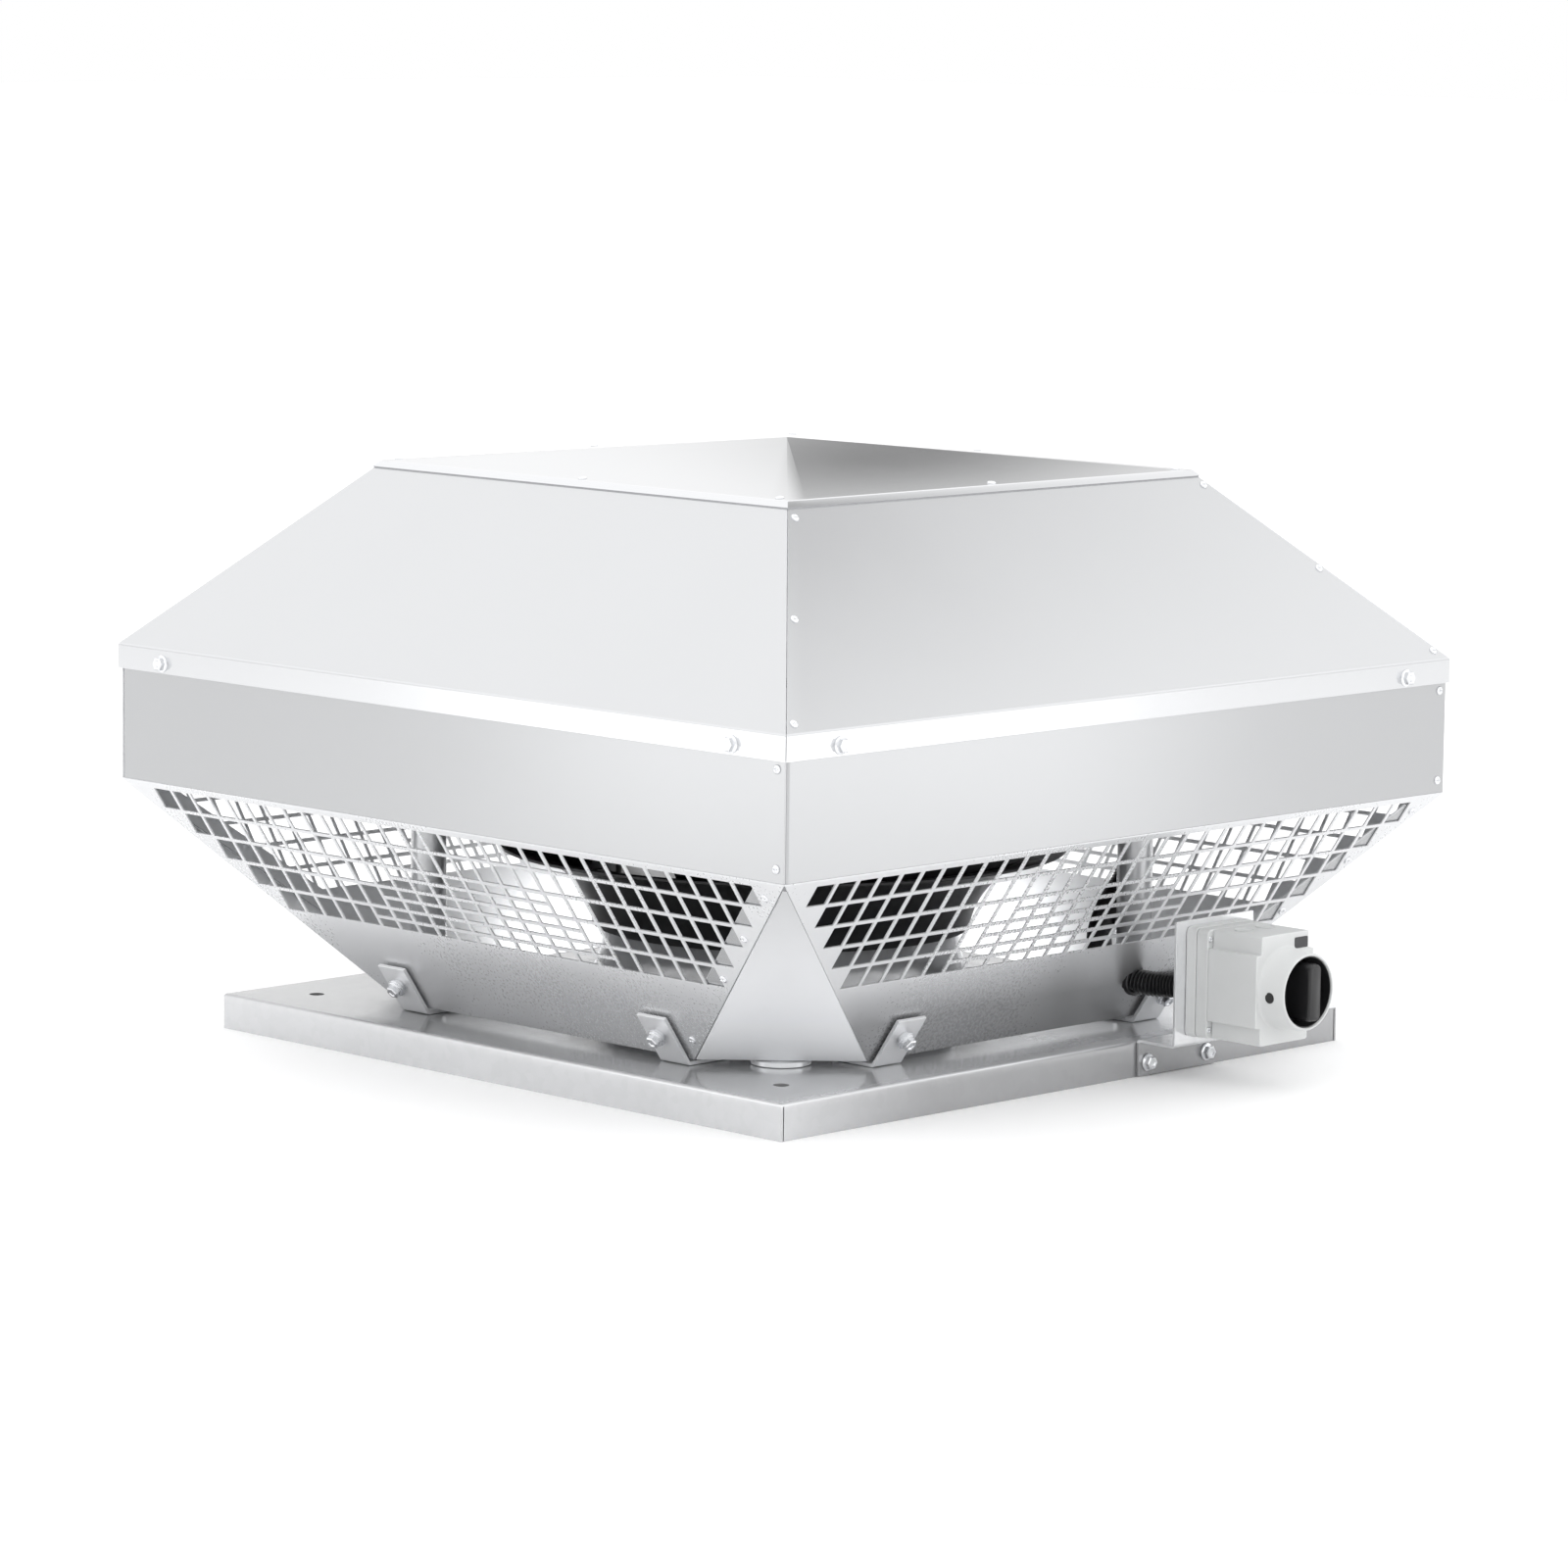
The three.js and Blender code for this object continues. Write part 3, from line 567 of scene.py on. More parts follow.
def grille_metal(sizes, across, down):
    """Which cells between the lines hold metal: an opening is a cell inside a row's run of columns.

    Each row is one opening shorter at both ends than the one above, and the three lowest rows have a cross
    strand through the openings of their middle, eight wide and two wider with each row.
    """
    x = (across[:-1] + across[1:])[:, None] / 2
    v = (down[:-1] + down[1:])[None] / 2
    column = x / sizes.pitch_across
    into = np.abs(column - np.round(column)) * sizes.pitch_across
    row = np.floor((v - sizes.first_row) / sizes.pitch_down)
    below = v - sizes.first_row - row * sizes.pitch_down
    opening = sizes.pitch_down - sizes.strand
    half_count = sizes.columns / 2 - row
    open_cell = (into > sizes.strand / 2) & (np.abs(column) < half_count) & (row >= 0) & (row < sizes.rows)
    open_cell &= below < opening
    strand = (np.abs(below - opening / 2) < sizes.strand / 2) & (np.abs(column) < 2 + row) & (row > 1)
    return ~(open_cell & ~strand)


def grille_shape(sizes, turns):
    """One grille: a fold of a bend radius under the belt, then the incline to the lower edge.

    A point is (x, distance along the profile); x is held inside the sloping side edges, so the outermost
    lines run along them, and cells that this leaves with no width hold no metal.
    """
    across, down = grille_lines(sizes)
    reach = sizes.bend * math.tan(TILT / 2)
    turn = np.linspace(0, TILT, 5)
    flat = np.concatenate([[reach], down, [RUN - 12 * MM, RUN]])
    fold_y = -BELT_HALF + sizes.bend * (1 - np.cos(turn[:-1]))
    fold_z = FOLD_Z + reach - sizes.bend * np.sin(turn[:-1])
    y = np.concatenate([fold_y, -BELT_HALF + flat * math.sin(TILT)])
    z = np.concatenate([fold_z, FOLD_Z - flat * math.cos(TILT)])
    lean = np.concatenate([turn[:-1], np.full(len(flat), TILT)])
    v = np.concatenate([np.zeros(4), flat])
    edge = BELT_HALF + (FOOT_WIDTH - BELT_HALF) * v / RUN - 0.3 * MM
    edge = np.minimum(edge, BELT_HALF - 0.6 * MM)
    x = np.clip(across[:, None], -edge, edge)
    x[0], x[-1] = -edge, edge
    outer = np.stack([x, np.broadcast_to(y, x.shape), np.broadcast_to(z, x.shape)], -1)
    inward = np.stack([np.zeros_like(lean), np.cos(lean), np.sin(lean)], -1)
    inner = outer + sizes.sheet * inward
    width = np.abs(np.diff(x, axis=0))
    metal = grille_metal(sizes, across, v) & (np.maximum(width[:, :-1], width[:, 1:]) > 1e-7)
    return Shape().shell(quarter_turns(outer, turns), quarter_turns(inner, turns), metal)


def belt_shape(sizes, turns):
    """The belt: a straight run with a round corner and a wrap behind the next belt, carried up the side."""
    left = BELT_LOW[0]
    wrap = BELT_HIGH[1]
    path = rounded([(BELT_HIGH[0], -BELT_HALF), (left, -BELT_HALF), (left, wrap)], sizes.bend, 7)
    inside = offset(path, -sizes.sheet)
    low = FOLD_Z + sizes.bend * math.tan(TILT / 2)
    z = np.array([low, low + 20 * MM, BELT_HIGH[2] - 20 * MM, BELT_HIGH[2]])
    lift = lambda p: np.concatenate(
        [np.repeat(p[:, None], len(z), 1), np.broadcast_to(z[None, :, None], (len(p), len(z), 1))], -1)
    return Shape().shell(quarter_turns(lift(path), turns), quarter_turns(lift(inside), turns))


def gusset_shapes(sizes, turns):
    """The gusset: a triangle between two grilles, and its flange folded in behind the left-hand grille.

    Each line across runs from the flange's edge over the fold to the right-hand grille's edge; the first
    three points of a line are the flange's and the last three the triangle's.
    """
    top = np.array([-BELT_HALF, -BELT_HALF, FOLD_Z])
    left = np.array([-FOOT_HALF, -FOOT_WIDTH, FOOT_Z])
    right = np.array([-FOOT_WIDTH, -FOOT_HALF, FOOT_Z])
    down = np.linspace(0.03, 1, 12)[:, None]
    west_in = np.array([math.cos(TILT), 0, math.sin(TILT)])
    plate = np.cross(right - left, (left + right) / 2 - top)
    plate /= np.linalg.norm(plate)
    fold = top + (left - top) * down
    edge = top + (right - top) * down
    across = (edge - fold) / np.linalg.norm(edge - fold, axis=1, keepdims=True)
    west = np.cross(west_in, left - top)
    west /= np.linalg.norm(west)
    west *= np.sign(west[1])
    depth = sizes.sheet + 0.3 * MM
    slack = np.minimum(1.0, down / 0.12)
    lines = [
        fold + west_in * depth + west * 22 * MM * slack,
        fold + west_in * depth + west * 2 * MM,
        fold + west_in * depth * 0.6 + across * 0.4 * MM,
        fold + across * 1.6 * MM * slack,
        edge - across * 0.35 * MM,
    ]
    outer = np.stack(lines, 1)
    normals = np.stack([west_in, west_in, west_in * 0.5 + plate * 0.5, plate, plate])
    normals /= np.linalg.norm(normals, axis=1, keepdims=True)
    inner = outer + sizes.sheet * normals[None]
    outer, inner = quarter_turns(outer, turns), quarter_turns(inner, turns)
    return Shape().shell(outer[:, :3], inner[:, :3]), Shape().shell(outer[:, 2:], inner[:, 2:])


# ---- roof --------------------------------------------------------------------------------------------
def slope_shape(sizes, turns):
    """A roof slope: skirt, round fold and slope; each line across reaches from hip to hip."""
    lip = CREASE_HALF - 2 * MM
    rise = CREASE_Z + 2 * MM * math.tan(PITCH)
    outside = rounded([(ROOF_HALF, SKIRT_LOW), (ROOF_HALF, SKIRT_HIGH), (lip, rise)], 3.5 * MM, 7)
    inside = offset(outside, sizes.sheet)
    s = np.linspace(-1, 1, 41)[:, None]

    def lay(profile):
        x = s * (profile[:, 0] - 0.35 * MM)
        return np.stack(np.broadcast_arrays(x, -profile[:, 0], profile[:, 1]), -1)

    return Shape().shell(quarter_turns(lay(outside), turns), quarter_turns(lay(inside), turns))


def cap_shape(sizes):
    """The cap: square rings from the apex out to the crease, then a lip down the slopes."""
    lip = 7 * MM
    rim = (CREASE_HALF + lip * math.cos(PITCH), CREASE_Z - lip * math.sin(PITCH) + 0.5 * MM + sizes.sheet)
    crease = (CREASE_HALF, CREASE_Z + 0.5 * MM + sizes.sheet)
    profile = rounded([(0.1 * MM, APEX_Z), crease, rim], 2.5 * MM, 6)
    inner = offset(profile, -sizes.sheet)
    inner[:, 0] = np.maximum(inner[:, 0], 0.1 * MM)
    t = np.linspace(-1, 1, 25)[:-1]
    one = np.ones_like(t)
    ring = np.concatenate([np.stack(side, -1) for side in ((t, -one), (one, t), (-t, one), (-one, -t))])

    loop = np.concatenate([profile, inner[::-1], profile[:1]])[:, None]
    across = ring.T[:, None] * loop[..., 0]
    return Shape().grid(np.stack(np.broadcast_arrays(*across, loop[..., 1]), -1), around=True)


def tray_shape():
    """The tray: square rings from the round eye out to the folded edge, round it and down to the rim.

    A ring is a circle at the eye and a square from a little way out. Round each fixing hole the cells are
    left out, and the points of their outline are set on the hole's circle. Next to each corner the south
    and north folds have a slit.
    """
    eye, t, fold, reach, hole = 196 * MM, 2 * MM, 2.6 * MM, 277 * MM, 6.5 * MM
    step = 3.0 * MM / reach
    near = np.arange(1, 6) * step
    t_in = np.concatenate([near, np.linspace(near[-1], 2 - near[-1], 28)[1:-1], 2 - near[::-1]]) - 1
    turn = np.linspace(0, math.pi / 2, 6)
    flat = np.concatenate([[eye, eye + 14 * MM, 240 * MM], reach + np.arange(-5, 6) * 3.0 * MM, [310 * MM]])
    half = np.concatenate([flat, TRAY_HALF - fold + fold * np.sin(turn), [TRAY_HALF] * 3])
    z = np.concatenate([np.full(len(flat), TRAY_TOP), TRAY_TOP - fold + fold * np.cos(turn),
                        [TRAY_TOP - 8 * MM, 1 * MM, 0]])
    inner_half, inner_z = half.copy(), z.copy()
    inner_half[len(flat):] = TRAY_HALF - t
    inner_z[:len(flat) + 6] = TRAY_TOP - t
    side = np.concatenate([[-1], t_in])
    one = np.ones_like(side)
    runs = ((side, -one), (one, side), (-side, one), (-one, -side))
    square = np.concatenate([np.stack(run, -1) for run in runs])
    square = np.concatenate([square, square[:1]])
    circle = square / np.linalg.norm(square, axis=1, keepdims=True)

    def lay(half, z):
        grow = np.clip((half - eye) / (44 * MM), 0, 1)[:, None, None]
        plan = half[:, None, None] * ((1 - grow) * circle + grow * square)
        return np.concatenate([plan, np.broadcast_to(z[:, None, None], (*plan.shape[:2], 1))], -1)

    outer, inner = lay(half, z), lay(inner_half, inner_z)
    solid = np.ones((len(half) - 1, len(square) - 1), bool)
    row, count = len(flat) - 7, len(side)
    for corner in range(4):
        column = corner * count
        solid[row - 2:row + 2, np.arange(column - 2, column + 2) % (4 * count)] = False
        out = square[column] / math.sqrt(2)
        across = np.array([-out[1], out[0]])
        for di in range(-2, 3):
            for dj in range(-2, 3):
                if max(abs(di), abs(dj)) < 2:
                    continue
                a = math.atan2(dj, di)
                at = reach * square[column] + hole * (math.cos(a) * out + math.sin(a) * across)
                for P in (outer, inner):
                    P[row + di, (column + dj) % (4 * count), :2] = at
    for P in (outer, inner):
        P[:, -1] = P[:, 0]
    low = slice(len(flat) + 5, None)
    for corner, way in ((0, 1), (1, -1), (2, 1), (3, -1)):
        column = corner * count
        for k, gap in ((1, 2.0 * MM), (2, 3.2 * MM)):
            for P in (outer, inner):
                P[low, (column + way * k) % (4 * count), 0] = np.sign(square[column, 0]) * (TRAY_HALF - gap)
        cell = column + 1 if way > 0 else column - 2
        solid[low.start:, cell % (4 * count)] = False
    return Shape().shell(outer, inner, solid, around=True)


# ---- fixings -----------------------------------------------------------------------------------------
def facing(normal, up=(0, 0, 1)):
    """A turn whose third column is the normal, so that a shape made along +Z stands on a face."""
    n = np.asarray(normal, float)
    n = n / np.linalg.norm(n)
    x = np.cross(up, n)
    x = x / np.linalg.norm(x) if np.linalg.norm(x) > 1e-6 else np.array([1.0, 0, 0])
    return np.stack([x, np.cross(n, x), n], -1)


def pan_screw():
    """A pan head with a cross recess: a low dome whose height drops inside the arms of a cross."""
    r = np.array([3.6, 3.6, 3.2, 2.6, 2.0, 1.5, 1.0, 0.5])[:, None]
    dome = np.array([0.0, 0.7, 1.2, 1.5, 1.6, 1.65, 1.65, 1.65])[:, None]
    a = np.linspace(0, TAU, 24, endpoint=False)[None]
    x, y = r * np.cos(a), r * np.sin(a)
    arm = np.minimum(np.abs(x), np.abs(y))
    deep = 1.1 * np.clip(1 - arm / 0.7, 0, 1) * (r < 2.4)
    P = np.stack([x, y, dome - deep], -1) * MM
    return Shape().grid(P, around=True, ends=True)


def hex_bolt(spacer=0.0):
    """A hex head with a flange and a dimple; a spacer sleeve and a washer stand under it if asked."""
    made = Shape()
    sleeve = ([(6.2, 0), (6.2, spacer), (5.9, spacer)], 0, 24)
    washer = ([(7.9, 0), (8.1, 0.3), (8.1, 1.5), (7.7, 1.8)], spacer, 28)
    base = spacer + 1.8 if spacer else 0
    flange = ([(7.1, 0), (7.2, 0.9), (6.0, 1.9)], base, 28)
    head = ([(5.8, 1.0), (5.8, 5.4), (5.0, 6.2), (3.4, 6.2), (2.6, 5.4), (0.6, 5.2)], base, 6)
    for profile, lift, sides in (sleeve, washer, flange, head) if spacer else (flange, head):
        made.grid(turned(np.array(profile) + [0, lift], sides) * MM, around=True, ends=True)
    return made


def stand(shapes, kind, points, normal, up=(0, 0, 1)):
    """Copies of one fixing on a face, at a list of points."""
    turn = facing(normal, up)
    for point in points:
        shapes.take(kind.moved(turn, point))


def slope_point(along, height, inset=0.0):
    """A point on the south roof slope's face, at a place along it and a height."""
    out = ROOF_HALF - (height - SKIRT_HIGH) / math.tan(PITCH)
    return np.array([along * (out - inset), -out, height])


def grille_point(x, v):
    """A point on the south grille's face."""
    return np.array([x, -BELT_HALF + v * math.sin(TILT), FOLD_Z - v * math.cos(TILT)])


def turn_round(shape, turns):
    """A shape turned by whole quarter turns about the fan's axis."""
    c, s = ((1, 0), (0, 1), (-1, 0), (0, -1))[turns % 4]
    return shape.moved([[c, -s, 0], [s, c, 0], [0, 0, 1]])


# ---- operators ---------------------------------------------------------------------------------------
class FanOperator(bpy.types.Operator):
    """Shared set-up of the fan's operators."""

    bl_options = {"REGISTER", "UNDO"}

    @property
    def sizes(self):
        return bpy.context.scene.fan_sizes


class AddMaterials(FanOperator):
    """Make the fan's materials"""

    bl_idname = "fan.add_materials"
    bl_label = "Add materials"

    def execute(self, context):
        make_materials(context.scene.fan_colours)
        return {"FINISHED"}


class AddStage(FanOperator):
    """Pale floor, soft studio light and the camera"""

    bl_idname = "fan.add_stage"
    bl_label = "Add stage"

    def execute(self, context):
        scene = context.scene
        floor = bpy.data.meshes.new("floor")
        corners = [(x * FLOOR_HALF, y * FLOOR_HALF, 0) for x, y in ((-1, -1), (1, -1), (1, 1), (-1, 1))]
        floor.from_pydata(corners, [], [(0, 1, 2, 3)])
        plane = bpy.data.objects.new("floor", floor)
        scene.collection.objects.link(plane)
        t = Tree("Studio floor")
        pale = t.noise(0.6, 2.0)
        t.set(Base_Color=t.mix(pale, (0.94, 0.94, 0.94), (0.97, 0.97, 0.97)), Roughness=0.9)
        floor.materials.append(t.material)

        world = bpy.data.worlds.new("Studio")
        scene.world = world
        scene.view_settings.view_transform = "Standard"
        sky = Tree(world, "Background")
        toward = sky.node("ShaderNodeTexCoord", {})["Generated"]
        height = sky.node("ShaderNodeSeparateXYZ", {}, toward)["Z"]

        def lobe(azimuth, elevation, sharpness):
            """One in a direction, falling to nothing as the view turns away from it."""
            a, e = math.radians(azimuth), math.radians(elevation)
            aim = (math.cos(a) * math.cos(e), math.sin(a) * math.cos(e), math.sin(e))
            dot = sky.node("ShaderNodeVectorMath", {"operation": "DOT_PRODUCT"}, toward, aim)["Value"]
            return dot.clamped() ** sharpness

        rise = (height * 1.8).clamped()
        light = 1.0 + rise * 0.5 - lobe(-8, 47.0, 420) * 1.45 - lobe(42.3, 13.2, 680) * 1.0
        sky.set(Color=(1, 1, 1, 1), Strength=light)

        def softbox(name, power, width, height, place, aim, spread=180):
            light = bpy.data.lights.new(name, "AREA")
            light.shape, light.size, light.size_y, light.energy = "RECTANGLE", width, height, power
            light.spread = math.radians(spread)
            lamp = bpy.data.objects.new(name, light)
            lamp.location = place
            lamp.rotation_euler = (Vector(aim) - Vector(place)).to_track_quat("-Z", "Y").to_euler()
            scene.collection.objects.link(lamp)

        softbox("right_light", 1.3, 0.9, 0.6, (0.68, -1.65, 0.25), (-0.2, -0.4, 0.25))
        softbox("left_light", 1.4, 0.9, 0.6, (-1.65, 0.68, 0.25), (-0.4, -0.2, 0.25))
        softbox("left_fill", 0.1, 0.14, 0.08, (0.06, 0.2, 0.12), (-0.05, 0.29, 0.07), 90)
        softbox("right_fill", 0.1, 0.14, 0.08, (0.2, 0.06, 0.12), (0.29, -0.05, 0.07), 90)

        azimuth, elevation, roll = (math.radians(CAMERA[key]) for key in ("azimuth", "elevation", "roll"))
        aim = Vector((0, 0, 0.7 * TRAY_HALF))
        back = Vector((math.sin(azimuth) * math.cos(elevation), -math.cos(azimuth) * math.cos(elevation),
                       math.sin(elevation)))
        lens = bpy.data.cameras.new("camera")
        camera = bpy.data.objects.new("camera", lens)
        camera.location = aim + back * CAMERA["distance"]
        turn = (-back).to_track_quat("-Z", "Y").to_matrix()
        camera.rotation_euler = (turn @ turn.Rotation(roll, 3, "Z")).to_euler()
        lens.sensor_width, lens.lens = 36.0, CAMERA["lens"]
        lens.shift_x, lens.shift_y = CAMERA["shift"]
        lens.clip_end = 100
        scene.collection.objects.link(camera)
        scene.camera = camera
        return {"FINISHED"}


class AddHoodSides(FanOperator):
    """The four folded sides: belt, punched grille and corner gusset"""

    bl_idname = "fan.add_hood_sides"
    bl_label = "Add hood sides"

    def execute(self, context):
        for turns, (side, corner) in enumerate(zip(SIDES, CORNERS)):
            flange, plate = gusset_shapes(self.sizes, turns)
            for name, shape, material, node in (
                (f"belt_sheet_{side}", belt_shape(self.sizes, turns), "hood", f"hood_belt_{side}"),
                (f"grille_sheet_{side}", grille_shape(self.sizes, turns), "grille", f"hood_grille_{side}"),
                (f"gusset_sheet_{corner}", plate, "gusset", f"hood_gusset_{corner}"),
                (f"gusset_flange_{corner}", flange, "hood", None),
            ):
                make(name, shape, material, "root", (node,) if node else (), 0.25 * MM,
                     segments=1, lining="lining")
        return {"FINISHED"}


class AddRoof(FanOperator):
    """The roof slopes with their skirts, and the flat pyramid cap"""

    bl_idname = "fan.add_roof"
    bl_label = "Add roof"

    def execute(self, context):
        for turns, side in enumerate(SIDES):
            make(f"roof_sheet_{side}", slope_shape(self.sizes, turns), "roof", "root",
                 (f"roof_slope_{side}",), 0.3 * MM, lining="lining")
        make("cap_sheet", cap_shape(self.sizes), "cap", "root", ("roof_cap",), 0.3 * MM)
        return {"FINISHED"}


class AddFixings(FanOperator):
    """Screws of the roof, belt and grilles, and the hex flange bolts"""

    bl_idname = "fan.add_fixings"
    bl_label = "Add screws and bolts"

    def execute(self, context):
        screw, bolt, long_bolt = pan_screw(), hex_bolt(), hex_bolt(3.0)
        roof_normal = (0, -math.sin(PITCH), math.cos(PITCH))
        grille_normal = (0, -math.cos(TILT), -math.sin(TILT))
        screws, skirt_bolts, lug_bolts = Shape(), Shape(), Shape()
        for turns in range(4):
            side = Shape()
            if turns % 2 == 0:
                heights = np.array([333.4, 401.7, 470.6]) * MM
                hips = [slope_point(end, z, 8 * MM) for end in (-1, 1) for z in heights]
                stand(side, screw, hips, roof_normal)
            belt = [(BELT_HALF - 9 * MM, -BELT_HALF, z * MM) for z in (224, 300)]
            stand(side, screw, belt, (0, -1, 0))
            edges = []
            for v in np.array([16.5, 65.3, 114.8, 192.2]) * MM:
                half = BELT_HALF + (FOOT_WIDTH - BELT_HALF) * v / RUN
                edges.append(grille_point(half - 13 * MM, v))
            stand(side, screw, edges, grille_normal)
            rise = CREASE_Z + 2 * MM + 6 * MM * (APEX_Z - CREASE_Z) / CREASE_HALF
            cap = [(x * MM, -CREASE_HALF + 6 * MM, rise) for x in (0, 225)]
            stand(side, screw, cap, (0, -0.105, 1), (0, 1, 0))
            screws.take(turn_round(side, turns))
            heads = Shape()
            stand(heads, bolt, [(x * 337 * MM, -ROOF_HALF, 314.5 * MM) for x in (-1, 1)], (0, -1, 0))
            skirt_bolts.take(turn_round(heads, turns))
            heads = Shape()
            for node in ("left", "right"):
                low, high = span(f"hood_lug_south_{node}")
                face = grille_point((low[0] + high[0]) / 2, 187 * MM) + np.array(grille_normal) * 5.6 * MM
                stand(heads, long_bolt, [face], grille_normal)
            lug_bolts.take(turn_round(heads, turns))
        make("sheet_screws", screws, "zinc", "root", smooth=50)
        make("skirt_bolts", skirt_bolts, "zinc", "root", smooth=40)
        make("lug_bolts", lug_bolts, "zinc", "root", smooth=40)
        for end in ("left", "right"):
            low, high = span(f"bracket_bolt_{end}")
            shape = Shape()
            stand(shape, bolt, [((low[0] + high[0]) / 2, high[1], (low[2] + high[2]) / 2)], (0, -1, 0))
            make(f"bracket_bolt_head_{end}", shape, "zinc", "root",
                 (f"bracket_bolt_{end}",), smooth=40)
        return {"FINISHED"}


class AddLugs(FanOperator):
    """The eight bent strips that hold the hood to the tray"""

    bl_idname = "fan.add_lugs"
    bl_label = "Add lugs"

    def execute(self, context):
        thick = 3.0 * MM
        for turns, side in enumerate(SIDES):
            for end in ("left", "right"):
                low, high = span(f"hood_lug_south_{end}")
                slant = math.tan(TILT)
                top = (low[1], high[2])
                knee = (low[1] + (high[2] - low[2]) * slant, low[2])
                path = rounded([(high[1], low[2]), knee, top], 3.2 * MM, 6)
                faces = (quarter_turns(face, turns) for face in strip(path, -thick, low[0], high[0]))
                make(f"lug_strip_{side}_{end}", Shape().shell(*faces), "lug", "root",
                     (f"hood_lug_{side}_{end}",), 0.35 * MM)
        return {"FINISHED"}


class AddBase(FanOperator):
    """The tray, the bell mouth and the pillars"""

    bl_idname = "fan.add_base"
    bl_label = "Add tray, nozzle and pillars"

    def execute(self, context):
        make("tray_sheet", tray_shape(), "tray", "root", ("base_tray",), 0.0)
        self.bell_mouth()
        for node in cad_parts:
            if node.startswith("pillar_"):
                self.pillar(node)
        return {"FINISHED"}

    def bell_mouth(self):
        """A flange and a quarter ellipse from the wide foot up to the throat, turned round the axis."""
        throat, mouth, flange, t = 149 * MM, 200 * MM, NOZZLE_HIGH[0], 1.5 * MM
        low, high = NOZZLE_LOW[2], NOZZLE_HIGH[2]
        a = np.linspace(0, math.pi / 2, 20)
        bend = high - 12 * MM
        bell = np.stack([mouth - (mouth - throat) * np.sin(a), bend - (bend - low) * np.cos(a)], -1)
        outer = bell + [t, 0]
        outer[0, 1] += t
        profile = np.concatenate([[(flange, low), (flange, low + t)], outer,
                                  [(throat + t, high), (throat, high)], bell[::-1]])
        make("bell_mouth", lathe(profile, 128), "tray", "root",
             ("inlet_nozzle",), 0.3 * MM)

    def pillar(self, node):
        """A flanged foot and a round tube: one profile turned round the pillar's own axis."""
        low, high = span(node)
        foot, tube, hollow, plate = (high[0] - low[0]) / 2, 15 * MM, 12.5 * MM, 4 * MM
        centre = (low + high) / 2
        weld = 2 * MM
        profile = np.array([
            (hollow, low[2]), (foot - 0.4 * MM, low[2]), (foot, low[2] + 0.4 * MM),
            (foot, low[2] + plate - 0.6 * MM), (foot - 0.6 * MM, low[2] + plate),
            (tube + weld, low[2] + plate), (tube + 0.5 * weld, low[2] + plate + 0.3 * weld),
            (tube, low[2] + plate + weld), (tube, high[2] - 0.5 * MM), (tube - 0.5 * MM, high[2]),
            (hollow, high[2])])
        shape = lathe(profile, 48).moved(None, (centre[0], centre[1], 0))
        make(node + "_tube", shape, "pillar", "root", (node,), 0.0)


